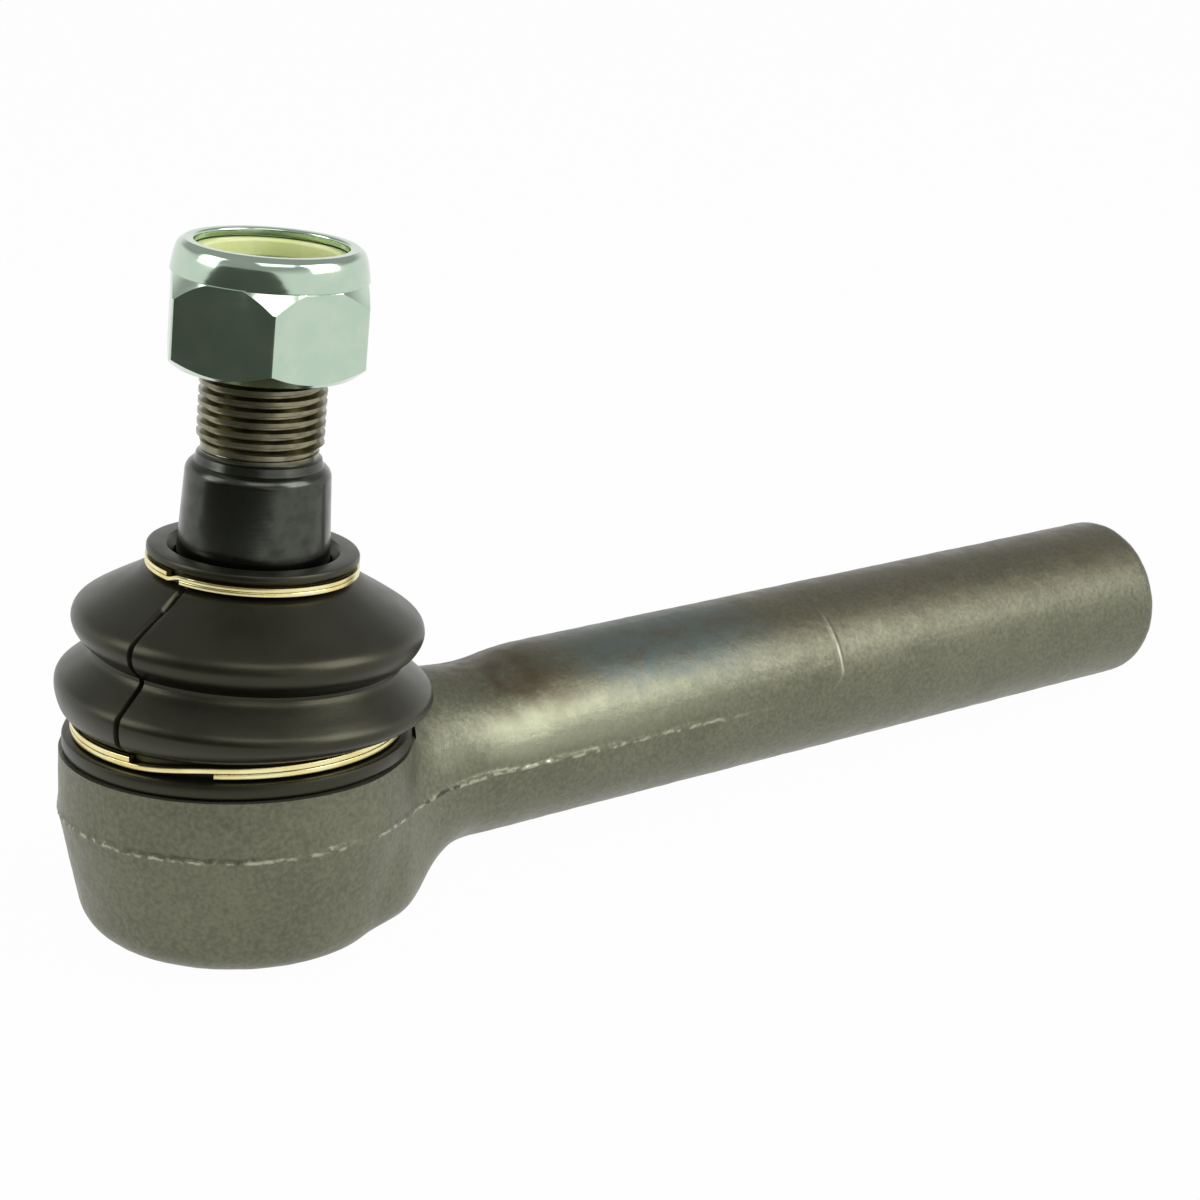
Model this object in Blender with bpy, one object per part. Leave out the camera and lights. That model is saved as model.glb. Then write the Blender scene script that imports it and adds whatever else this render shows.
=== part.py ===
"""Tie rod end: a forged housing with a ball stud, bearing shells, dust boot and lock nut.

The origin is the middle of the flat underside, +X runs along the shank and +Z along the stud.
Heights called "rise" are measured from the ball's centre, which lies on the shank's axis.
"""

import math

import bmesh
import bpy
from mathutils import Matrix, Vector

# Units: every size below is in millimetres or degrees
MM = 0.001

# Fits shared by all pieces
CLEARANCE = 0.3
THREAD_PITCH = 1.5
THREAD_DEPTH = 0.9
THREAD_CLEARANCE = 0.3

# Housing
AXIS_HEIGHT = 19.4
EYE_RADIUS = 26.4
EYE_TOP_TAPER = 0.6
EYE_DRAFT_DEG = 11.0
EYE_CORNER_RADIUS = 6.5
FLASH_HALF_WIDTH = 0.6
FLASH_HEIGHT = 0.4
SEAT_RISE = 8.6
COLLAR_SETBACK = 4.5
COLLAR_HEIGHT = 6.2
COLLAR_EDGE = 1.5
SEAT_WALL_GAP = 0.7
RIM_THICKNESS = 2.5
RIM_OPENING_RADIUS = 12.4
SHANK_RADIUS = 14.0
SHANK_LENGTH = 187.0
SHANK_END_ROUNDING = 2.5
NECK_SIDE_FILLET = 32.0
NECK_UNDER_FILLET = 9.0
NECK_ROOT_REACH = 0.8
NECK_UNDER_SQUARENESS = 5.0
NECK_START = 8.0
NECK_TOP_DROP = 0.75
NECK_LENGTH = 44.0
NECK_RUN_OUT = 8.0
SHANK_THREAD_RADIUS = 9.0
SHANK_THREAD_LENGTH = 36.0
SHANK_BORE_RUN_OUT = 4.0
SHANK_MOUTH_CHAMFER = 0.6
DRILL_POINT_DEG = 59.0

# Ball stud
BALL_RADIUS = 14.0
BALL_FLAT_DROP = 9.5
STUD_REST_LEAN_DEG = 3.7
STUD_REST_HEADING_DEG = -39.0
STUD_LEAN_LIMIT_DEG = 20.0
STUD_NECK_RADIUS = 7.5
STUD_NECK_RISE = 17.0
STUD_LAND_RADIUS = 11.0
STUD_LAND_RISE = 33.5
STUD_LAND_LENGTH = 3.5
TAPER_LENGTH = 12.2
TAPER_PER_LENGTH = 0.1
STUD_SHOULDER_ROUNDING = 1.7
UNDERCUT_RADIUS = 8.0
UNDERCUT_LENGTH = 3.1
STUD_THREAD_RADIUS = 9.0
STUD_THREAD_TURNS = 15
STUD_END_CHAMFER = 0.9

# Bearing
SHELL_WALL = 2.4
SHELL_LIP_RISE = 6.6
SHELL_SHOULDER_RISE = 1.4
COVER_THICKNESS = 3.0
COVER_DISH_RADIUS = 9.5
SPRING_THICKNESS = 1.2
SPRING_HEIGHT = 3.4
SEAL_SECTION_RADIUS = 0.8

# Dust boot
BOOT_CUFF_INSET = 0.5
BOOT_CUFF_HEIGHT = 2.2
BOOT_GROOVE_DEPTH = 2.5
BOOT_LOWER_BULGE_RADIUS = 27.3
BOOT_LOWER_BULGE_HEIGHT = 8.7
BOOT_WAIST_RADIUS = 24.6
BOOT_WAIST_HEIGHT = 15.0
BOOT_UPPER_BULGE_RADIUS = 25.2
BOOT_UPPER_BULGE_DROP = 12.6
BOOT_WALL = 2.5
BOOT_TOP_RADIUS = 15.2
BOOT_TOP_GROOVE_RADIUS = 14.0
BOOT_TOP_HEIGHT = 2.8
BOOT_TOP_OPENING_RADIUS = 13.3

# Boot rings
LOWER_RING_WIDTH = 1.0
LOWER_RING_STRIP = 0.7
LOWER_RING_START_DEG = -129.5
LOWER_RING_GAP_DEG = 30.5
UPPER_RING_WIDTH = 1.0
UPPER_RING_STRIP = 0.45
UPPER_RING_START_DEG = -163.6
UPPER_RING_GAP_DEG = 10.0
RING_LAYER_GAP = 0.46

# Lock nut
NUT_ACROSS_FLATS = 27.0
NUT_HEX_HEIGHT = 13.5
NUT_COLLAR_HEIGHT = 4.2
NUT_COLLAR_RADIUS = 13.5
NUT_RIM_RADIUS = 12.6
NUT_RIM_OPENING_RADIUS = 10.8
NUT_FACE_RADIUS = 12.9
NUT_CHAMFER_DEG = 38.0
NUT_CORNER_DEG = 5.0
NUT_START_TURNS = 7
NUT_COUNTERSINK = 0.7
INSERT_HEIGHT = 2.5
INSERT_OUTER_RADIUS = 11.3

# Facets of the round pieces
EYE_SEGMENTS = 44
SHANK_SEGMENTS = 32
BORE_SEGMENTS = 32
STUD_SEGMENTS = 24
BOOT_SEGMENTS = 30
SHANK_THREAD_SEGMENTS = 14
SEAL_SEGMENTS = 20

# Sizes that follow from the ones above
BALL_CENTRE = Vector((0.0, 0.0, AXIS_HEIGHT))
LEAN_HEADING = math.radians(STUD_REST_HEADING_DEG)
LEAN_AXIS = Vector((-math.sin(LEAN_HEADING), math.cos(LEAN_HEADING), 0.0))
SHELL_RADIUS = BALL_RADIUS + CLEARANCE + SHELL_WALL
CAVITY_RADIUS = SHELL_RADIUS + CLEARANCE
COVER_UNDER = RIM_THICKNESS + CLEARANCE
COVER_TOP = COVER_UNDER + COVER_THICKNESS
SHELL_BOTTOM = COVER_TOP + SPRING_HEIGHT + 2 * CLEARANCE
SEAT_HEIGHT = AXIS_HEIGHT + SEAT_RISE
EYE_TOP_RADIUS = EYE_RADIUS - EYE_TOP_TAPER
COLLAR_RADIUS = EYE_TOP_RADIUS - COLLAR_SETBACK
BOOT_CUFF_RADIUS = EYE_TOP_RADIUS - BOOT_CUFF_INSET
BOOT_GROOVE_RADIUS = BOOT_CUFF_RADIUS - BOOT_GROOVE_DEPTH
SEAT_WALL_RADIUS = BOOT_CUFF_RADIUS + SEAT_WALL_GAP
COLLAR_RISE = SEAT_RISE + COLLAR_HEIGHT
TAPER_START = STUD_LAND_RISE + STUD_LAND_LENGTH
TAPER_END = TAPER_START + TAPER_LENGTH
TAPER_TOP_RADIUS = STUD_LAND_RADIUS - TAPER_LENGTH * TAPER_PER_LENGTH / 2
THREAD_START = TAPER_END + STUD_SHOULDER_ROUNDING + UNDERCUT_LENGTH
THREAD_END = THREAD_START + STUD_THREAD_TURNS * THREAD_PITCH
NUT_BOTTOM = THREAD_START + NUT_START_TURNS * THREAD_PITCH
NUT_HEX_TOP = NUT_BOTTOM + NUT_HEX_HEIGHT
NUT_TOP = NUT_HEX_TOP + NUT_COLLAR_HEIGHT
NUT_BORE_RADIUS = STUD_THREAD_RADIUS + THREAD_CLEARANCE
BOOT_BOTTOM = SEAT_RISE + CLEARANCE
BOOT_INNER_RADIUS = COLLAR_RADIUS + CLEARANCE
BOOT_TOP = TAPER_START + BOOT_TOP_HEIGHT


def material(name, colour, roughness, metallic):
    """A plain Principled material in the colour of one finish."""
    made = bpy.data.materials.new(name)
    made.use_nodes = True
    shader = made.node_tree.nodes["Principled BSDF"]
    shader.inputs["Base Color"].default_value = (*colour, 1.0)
    shader.inputs["Roughness"].default_value = roughness
    shader.inputs["Metallic"].default_value = metallic
    return made


def add_object(name, bm, finish, parent=None, origin=Vector()):
    """Turn a bmesh in millimetres into a named object with its origin at the given point."""
    bmesh.ops.remove_doubles(bm, verts=bm.verts, dist=1e-5)
    bmesh.ops.recalc_face_normals(bm, faces=bm.faces)
    bmesh.ops.scale(bm, vec=(MM, MM, MM), verts=bm.verts)
    mesh = bpy.data.meshes.new(name)
    bm.to_mesh(mesh)
    bm.free()
    mesh.shade_smooth()
    mesh.set_sharp_from_angle(angle=math.radians(35))
    made = bpy.data.objects.new(name, mesh)
    bpy.context.scene.collection.objects.link(made)
    if finish:
        mesh.materials.append(finish)
    made.parent = parent
    made.location = origin * MM
    return made


def add_cutter(name, bm):
    """A tool body that shapes another piece and isn't a piece itself."""
    tool = add_object(name, bm, None)
    tool.hide_render = True
    tool.display_type = "WIRE"
    return tool


def add_boolean(target, tool, operation):
    """Join a tool body to a piece, or cut it out."""
    step = target.modifiers.new(tool.name, "BOOLEAN")
    step.operation = operation
    step.solver = "EXACT"
    step.object = tool


def lean_matrix(share):
    """Turn that leans a point by a share of the stud's rest lean."""
    return Matrix.Rotation(math.radians(STUD_REST_LEAN_DEG) * share, 4, LEAN_AXIS)


def add_stud_axis():
    """An empty at the ball's centre, leaned as the stud rests."""
    axis = bpy.data.objects.new("stud_axis", None)
    bpy.context.scene.collection.objects.link(axis)
    axis.matrix_world = Matrix.Translation(BALL_CENTRE * MM) @ lean_matrix(1.0)
    return axis


def ring_of_points(radius, height, segments, turn_deg=0.0):
    """Points of one level circle."""
    points = []
    for index in range(segments):
        angle = math.tau * index / segments + math.radians(turn_deg)
        points.append(Vector((radius * math.cos(angle), radius * math.sin(angle), height)))
    return points


def skin_rings(bm, rings, closed_loop=False):
    """Faces between rings with equal counts of points, and between the last and first if closed."""
    pairs = list(zip(rings, rings[1:]))
    if closed_loop:
        pairs.append((rings[-1], rings[0]))
    for low, high in pairs:
        for index in range(len(low)):
            after = (index + 1) % len(low)
            corners = [low[index], low[after], high[after], high[index]]
            distinct = list(dict.fromkeys(corners))
            if len(distinct) > 2:
                bm.faces.new(distinct)


def add_ring(bm, points):
    """Vertices for one ring of points."""
    return [bm.verts.new(point) for point in points]


def lathe(profile, segments, closed_loop=False, shape=None):
    """A turned body from (radius, height) pairs, capped at both ends unless it closes on itself."""
    bm = bmesh.new()
    rings = []
    for radius, height in profile:
        points = ring_of_points(radius, height, segments)
        rings.append(add_ring(bm, [shape(p) for p in points] if shape else points))
    skin_rings(bm, rings, closed_loop)
    if not closed_loop:
        bm.faces.new(rings[0])
        bm.faces.new(rings[-1])
    return bm


def arc(centre, radius, start_deg, end_deg, steps):
    """Points along a round stretch of a profile."""
    points = []
    for index in range(steps + 1):
        angle = math.radians(start_deg + (end_deg - start_deg) * index / steps)
        points.append((centre[0] + radius * math.cos(angle), centre[1] + radius * math.sin(angle)))
    return points


def smooth_step(low, high, value):
    """0 below low, 1 above high and an even S between."""
    share = min(max((value - low) / (high - low), 0.0), 1.0)
    return share * share * (3 - 2 * share)


def add_thread(bm, low, turns, root_radius, crest_radius, end_radius, segments):
    """A right-hand helical thread between two level rings, which it fades into over one turn.

    Two rows of points, root then crest, climb one pitch a turn. Each column's first and last
    rows are drawn together, so the thread begins and ends in a level ring.
    """
    rows_per_turn = 2
    last = (turns + 1) * rows_per_turn
    high = low + turns * THREAD_PITCH
    columns = []
    for index in range(segments):
        share = index / segments
        angle = math.tau * share
        heights = []
        for row in range(last + 1):
            if row < rows_per_turn:
                height = low + THREAD_PITCH * share * row / rows_per_turn
            elif row > last - rows_per_turn:
                start = high - THREAD_PITCH * (1 - share)
                part = (row - last + rows_per_turn) / rows_per_turn
                height = start + (high - start) * part
            else:
                height = low + THREAD_PITCH * (row / rows_per_turn - 1 + share)
            heights.append(height)
        column = []
        for row, height in enumerate(heights):
            full = crest_radius if row % rows_per_turn else root_radius
            fade = min((height - low) / THREAD_PITCH, (high - height) / THREAD_PITCH, 1.0)
            radius = end_radius + (full - end_radius) * max(fade, 0.0)
            if index == 0 and row < rows_per_turn:
                column.append(None)
            else:
                place = (radius * math.cos(angle), radius * math.sin(angle), height)
                column.append(bm.verts.new(place))
        columns.append(column)
    seam = columns[0]
    seam[:rows_per_turn] = [seam[rows_per_turn]] * rows_per_turn
    wrapped = [seam[min(row + rows_per_turn, last)] for row in range(last + 1)]
    for index in range(segments):
        left = columns[index]
        right = columns[index + 1] if index + 1 < segments else wrapped
        for row in range(last):
            corners = [left[row], right[row], right[row + 1], left[row + 1]]
            distinct = list(dict.fromkeys(corners))
            if len(distinct) > 2:
                bm.faces.new(distinct)
    return [column[0] for column in columns], [column[last] for column in columns]


def eye_profile():
    """Outside of the eye from its flat underside to above the boot's seat."""
    draft = math.radians(EYE_DRAFT_DEG)
    below = AXIS_HEIGHT - FLASH_HALF_WIDTH
    side_radius = EYE_RADIUS - FLASH_HEIGHT
    # the corner's arc is level at the underside and follows the draft where it leaves
    corner_top = EYE_CORNER_RADIUS * (1 - math.sin(draft))
    side_end = side_radius - (below - FLASH_HEIGHT - corner_top) * math.tan(draft)
    corner = (side_end - EYE_CORNER_RADIUS * math.cos(draft), EYE_CORNER_RADIUS)
    profile = [(RIM_OPENING_RADIUS, 0.0)]
    profile += arc(corner, EYE_CORNER_RADIUS, -90, -EYE_DRAFT_DEG, 5)
    profile.append((side_radius, below - FLASH_HEIGHT))
    profile.append((EYE_RADIUS, below))
    profile.append((EYE_RADIUS, AXIS_HEIGHT + FLASH_HALF_WIDTH))
    profile.append((side_radius, AXIS_HEIGHT + FLASH_HALF_WIDTH + FLASH_HEIGHT))
    profile.append((EYE_TOP_RADIUS, SEAT_HEIGHT - FLASH_HEIGHT))
    profile.append((EYE_TOP_RADIUS, SEAT_HEIGHT + COLLAR_HEIGHT / 2))
    return profile, corner


def shank_blank():
    """The neck and the round bar, lofted along X and rounded at the end."""
    _, corner = eye_profile()
    fillet = NECK_SIDE_FILLET
    side_end = math.sqrt((EYE_RADIUS + fillet) ** 2 - (SHANK_RADIUS + fillet) ** 2)
    side_start = side_end * EYE_RADIUS / (EYE_RADIUS + fillet)
    under = NECK_UNDER_FILLET
    bar_bottom = AXIS_HEIGHT - SHANK_RADIUS
    # the root runs out from the eye's lower corner before it sweeps up to the bar
    reach = EYE_CORNER_RADIUS + under
    root = corner[0] + NECK_ROOT_REACH
    under_end = root + math.sqrt(reach**2 - (corner[1] - bar_bottom + under) ** 2)
    under_start = under_end - (under_end - root) * under / reach

    def section(x):
        """Half width, bottom and top of the neck at one place, and how square it is below."""
        along = max(x, side_start)
        half_width = SHANK_RADIUS
        if along < side_end:
            half_width += fillet - math.sqrt(fillet**2 - (side_end - along) ** 2)
        bottom = bar_bottom
        if x < under_start:
            along = max(x, root)
            bottom = corner[1] - math.sqrt(EYE_CORNER_RADIUS**2 - (along - root) ** 2)
            bottom = max(bottom, CLEARANCE)
        elif x < under_end:
            bottom -= under - math.sqrt(under**2 - (under_end - x) ** 2)
        drop = NECK_TOP_DROP * (1 - smooth_step(NECK_LENGTH, NECK_LENGTH + NECK_RUN_OUT, x))
        squareness = NECK_UNDER_SQUARENESS
        squareness += (2.0 - squareness) * smooth_step(side_start, side_end, x)
        return half_width, bottom, AXIS_HEIGHT + SHANK_RADIUS - drop, squareness

    steps = 9
    places = [NECK_START + (side_end - NECK_START) * index / steps for index in range(steps + 1)]
    places += [NECK_LENGTH, NECK_LENGTH + NECK_RUN_OUT / 2, NECK_LENGTH + NECK_RUN_OUT]
    stations = [(x, *section(x)) for x in places]
    rounding = SHANK_END_ROUNDING
    centre = (SHANK_LENGTH - rounding, SHANK_RADIUS - rounding)
    for x, radius in reversed(arc(centre, rounding, 0, 90, 3)):
        stations.append((x, radius, AXIS_HEIGHT - radius, AXIS_HEIGHT + radius, 2.0))
    bm = bmesh.new()
    rings = []
    for x, half_width, bottom, top, squareness in stations:
        points = []
        for point in ring_of_points(1.0, x, SHANK_SEGMENTS):
            power = 2.0 / squareness if point.y < 0 else 1.0
            across = math.copysign(abs(point.x) ** power, -point.x) * half_width
            upward = math.copysign(abs(point.y) ** power, point.y) * (top - bottom) / 2
            points.append(Vector((x, across, (bottom + top) / 2 + upward)))
        rings.append(add_ring(bm, points))
    skin_rings(bm, rings)
    bm.faces.new(rings[0])
    bm.faces.new(rings[-1])
    return bm


def cavity():
    """The space for the bearing, open below inside the rolled rim and above for the stud."""
    lean = math.tan(math.radians(STUD_LEAN_LIMIT_DEG))
    lean_radius = STUD_NECK_RADIUS / math.cos(math.radians(STUD_LEAN_LIMIT_DEG))
    lip_rise = SHELL_LIP_RISE + CLEARANCE
    ball_at_lip = math.sqrt(BALL_RADIUS**2 - lip_rise**2)
    lip_radius = ball_at_lip + 2 * CLEARANCE
    mouth_radius = COLLAR_RISE * lean + lean_radius + 2 * CLEARANCE
    shoulder = AXIS_HEIGHT + SHELL_SHOULDER_RISE
    over = 2.0
    profile = [
        (RIM_OPENING_RADIUS, -over),
        (RIM_OPENING_RADIUS, RIM_THICKNESS),
        (CAVITY_RADIUS, RIM_THICKNESS),
        (CAVITY_RADIUS, shoulder),
        (lip_radius + SHELL_WALL / 2 + CLEARANCE, AXIS_HEIGHT + lip_rise),
        (lip_radius, AXIS_HEIGHT + lip_rise),
        (max(mouth_radius, lip_radius), AXIS_HEIGHT + COLLAR_RISE),
        (max(mouth_radius, lip_radius), AXIS_HEIGHT + COLLAR_RISE + over),
    ]
    return lathe(profile, BORE_SEGMENTS)


def shank_bore():
    """Tapped hole in the shank's end, turned about Z here and laid along X by its object."""
    bm = bmesh.new()
    turns = int(SHANK_THREAD_LENGTH / THREAD_PITCH)
    minor = SHANK_THREAD_RADIUS - THREAD_DEPTH
    top = SHANK_LENGTH - SHANK_MOUTH_CHAMFER
    start = top - turns * THREAD_PITCH
    segments = SHANK_THREAD_SEGMENTS
    low, high = add_thread(bm, start, turns, minor, SHANK_THREAD_RADIUS, minor, segments)
    drilled = start - SHANK_BORE_RUN_OUT
    point_depth = minor / math.tan(math.radians(DRILL_POINT_DEG))
    floor = add_ring(bm, ring_of_points(minor, drilled, segments))
    tip = bm.verts.new((0.0, 0.0, drilled - point_depth))
    mouth_radius = SHANK_THREAD_RADIUS + SHANK_MOUTH_CHAMFER
    mouth = add_ring(bm, ring_of_points(mouth_radius, SHANK_LENGTH, segments))
    outside = add_ring(bm, ring_of_points(mouth_radius, SHANK_LENGTH + THREAD_PITCH, segments))
    skin_rings(bm, [floor, low])
    skin_rings(bm, [high, mouth, outside])
    for index in range(segments):
        bm.faces.new((tip, floor[index], floor[(index + 1) % segments]))
    bm.faces.new(outside)
    return bm


def build_housing(finish):
    """Forged eye, boot collar, neck and shank in one piece."""
    profile, _ = eye_profile()
    housing = add_object("housing", lathe(profile, EYE_SEGMENTS), finish)
    add_boolean(housing, add_cutter("tool_shank", shank_blank()), "UNION")
    tall = SEAT_HEIGHT + SHANK_RADIUS
    seat = lathe([(SEAT_WALL_RADIUS, SEAT_HEIGHT), (SEAT_WALL_RADIUS, tall)], EYE_SEGMENTS)
    add_boolean(housing, add_cutter("tool_seat", seat), "DIFFERENCE")
    top = AXIS_HEIGHT + COLLAR_RISE
    collar = lathe(
        [
            (COLLAR_RADIUS, SEAT_HEIGHT - COLLAR_EDGE),
            (COLLAR_RADIUS, top - COLLAR_EDGE),
            (COLLAR_RADIUS - COLLAR_EDGE, top),
        ],
        EYE_SEGMENTS,
    )
    add_boolean(housing, add_cutter("tool_collar", collar), "UNION")
    add_boolean(housing, add_cutter("tool_cavity", cavity()), "DIFFERENCE")
    bore = add_cutter("tool_bore", shank_bore())
    bore.matrix_world = Matrix.Translation(BALL_CENTRE * MM) @ Matrix.Rotation(math.pi / 2, 4, "Y")
    add_boolean(housing, bore, "DIFFERENCE")
    return housing


def build_ball_stud(axis, finish):
    """Ball, neck, boot land, taper, undercut and thread, on the stud's own axis."""
    bm = bmesh.new()
    segments = STUD_SEGMENTS
    flat_deg = -math.degrees(math.asin(BALL_FLAT_DROP / BALL_RADIUS))
    neck_deg = math.degrees(math.acos(STUD_NECK_RADIUS / BALL_RADIUS))
    profile = arc((0, 0), BALL_RADIUS, flat_deg, neck_deg, 10)
    profile.append((STUD_NECK_RADIUS, STUD_NECK_RISE))
    widen = STUD_LAND_RADIUS - STUD_NECK_RADIUS
    climb = STUD_LAND_RISE - STUD_NECK_RISE
    for share in (0.35, 0.7, 1.0):
        profile.append((STUD_NECK_RADIUS + widen * share**1.3, STUD_NECK_RISE + climb * share))
    profile.append((STUD_LAND_RADIUS, TAPER_START))
    rounding = STUD_SHOULDER_ROUNDING
    centre = (TAPER_TOP_RADIUS - rounding, TAPER_END)
    profile += arc(centre, rounding, 0, 90, 4)
    profile.append((UNDERCUT_RADIUS, TAPER_END + rounding + UNDERCUT_LENGTH / 4))
    profile.append((UNDERCUT_RADIUS, THREAD_START - UNDERCUT_LENGTH / 4))
    rings = [add_ring(bm, ring_of_points(r, h, segments)) for r, h in profile]
    root = STUD_THREAD_RADIUS - THREAD_DEPTH
    low, high = add_thread(
        bm, THREAD_START, STUD_THREAD_TURNS, root, STUD_THREAD_RADIUS, root, segments
    )
    skin_rings(bm, rings + [low])
    end_radius = root - STUD_END_CHAMFER / 2
    end = add_ring(bm, ring_of_points(end_radius, THREAD_END + STUD_END_CHAMFER, segments))
    skin_rings(bm, [high, end])
    bm.faces.new(rings[0])
    bm.faces.new(end)
    return add_object("ball_stud", bm, finish, axis)


def build_bearing_shells(finish):
    """Two seats that hold the ball above and below its middle."""
    ball = BALL_RADIUS + CLEARANCE
    lip_radius = math.sqrt(ball**2 - SHELL_LIP_RISE**2)
    lip_deg = math.degrees(math.asin(SHELL_LIP_RISE / ball))
    split = CLEARANCE / 2
    split_deg = math.degrees(math.asin(split / ball))
    shoulder = SHELL_SHOULDER_RISE - CLEARANCE / 2
    upper = arc((0, 0), ball, split_deg, lip_deg, 4)
    upper.append((lip_radius + SHELL_WALL / 2, SHELL_LIP_RISE))
    upper.append((SHELL_RADIUS, shoulder))
    upper.append((SHELL_RADIUS, split))
    add_object(
        "upper_bearing_shell", lathe(upper, STUD_SEGMENTS, True), finish, None, BALL_CENTRE
    )
    bottom = SHELL_BOTTOM - AXIS_HEIGHT
    bottom_deg = math.degrees(math.asin(bottom / ball))
    lower = arc((0, 0), ball, bottom_deg, -split_deg, 5)
    lower.append((SHELL_RADIUS, -split))
    lower.append((SHELL_RADIUS, bottom))
    add_object(
        "lower_bearing_shell", lathe(lower, STUD_SEGMENTS, True), finish, None, BALL_CENTRE
    )


def build_cover(finish, spring_finish, seal_finish):
    """Dished cover held by the rolled rim, its seal and the disc spring that loads the shells."""
    plateau = RIM_OPENING_RADIUS - CLEARANCE
    flange = CAVITY_RADIUS - CLEARANCE
    dish = COVER_THICKNESS
    seal_room = 2 * SEAL_SECTION_RADIUS + CLEARANCE
    cover = [
        (plateau, 0.0),
        (plateau, COVER_UNDER),
        (flange, COVER_UNDER),
        (flange, COVER_TOP - seal_room),
        (flange - seal_room, COVER_TOP - seal_room),
        (flange - seal_room, COVER_TOP),
        (COVER_DISH_RADIUS, COVER_TOP),
        (COVER_DISH_RADIUS, dish),
    ]
    add_object("cover_plate", lathe(cover, BORE_SEGMENTS), finish)
    section = SEAL_SECTION_RADIUS
    seal_radius = CAVITY_RADIUS - CLEARANCE - section
    seal_height = COVER_TOP - seal_room + CLEARANCE + section
    seal = arc((seal_radius, seal_height), section, 0, 300, 5)
    add_object("cover_seal_ring", lathe(seal, SEAL_SEGMENTS, True), seal_finish)
    outer = flange - seal_room - CLEARANCE
    low = COVER_TOP + CLEARANCE
    rise = SPRING_HEIGHT - SPRING_THICKNESS
    ball_drop = AXIS_HEIGHT - low - SPRING_HEIGHT
    inner = math.sqrt(BALL_RADIUS**2 - ball_drop**2) + 2 * CLEARANCE
    spring = [
        (outer, low),
        (outer, low + SPRING_THICKNESS),
        (inner, low + rise + SPRING_THICKNESS),
        (inner, low + rise),
    ]
    add_object("preload_spring", lathe(spring, BORE_SEGMENTS, True), spring_finish)


def ring_height(strip):
    """Height of a boot ring's two layers."""
    return 2 * strip + RING_LAYER_GAP


def lower_ring_middle():
    """Rise of the lower ring's middle above the ball's centre."""
    half = ring_height(LOWER_RING_STRIP) / 2
    return BOOT_BOTTOM + BOOT_CUFF_HEIGHT + CLEARANCE + half


def upper_ring_middle():
    """Rise of the upper ring's middle above the ball's centre."""
    return TAPER_START - ring_height(UPPER_RING_STRIP) / 2 - CLEARANCE


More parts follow.
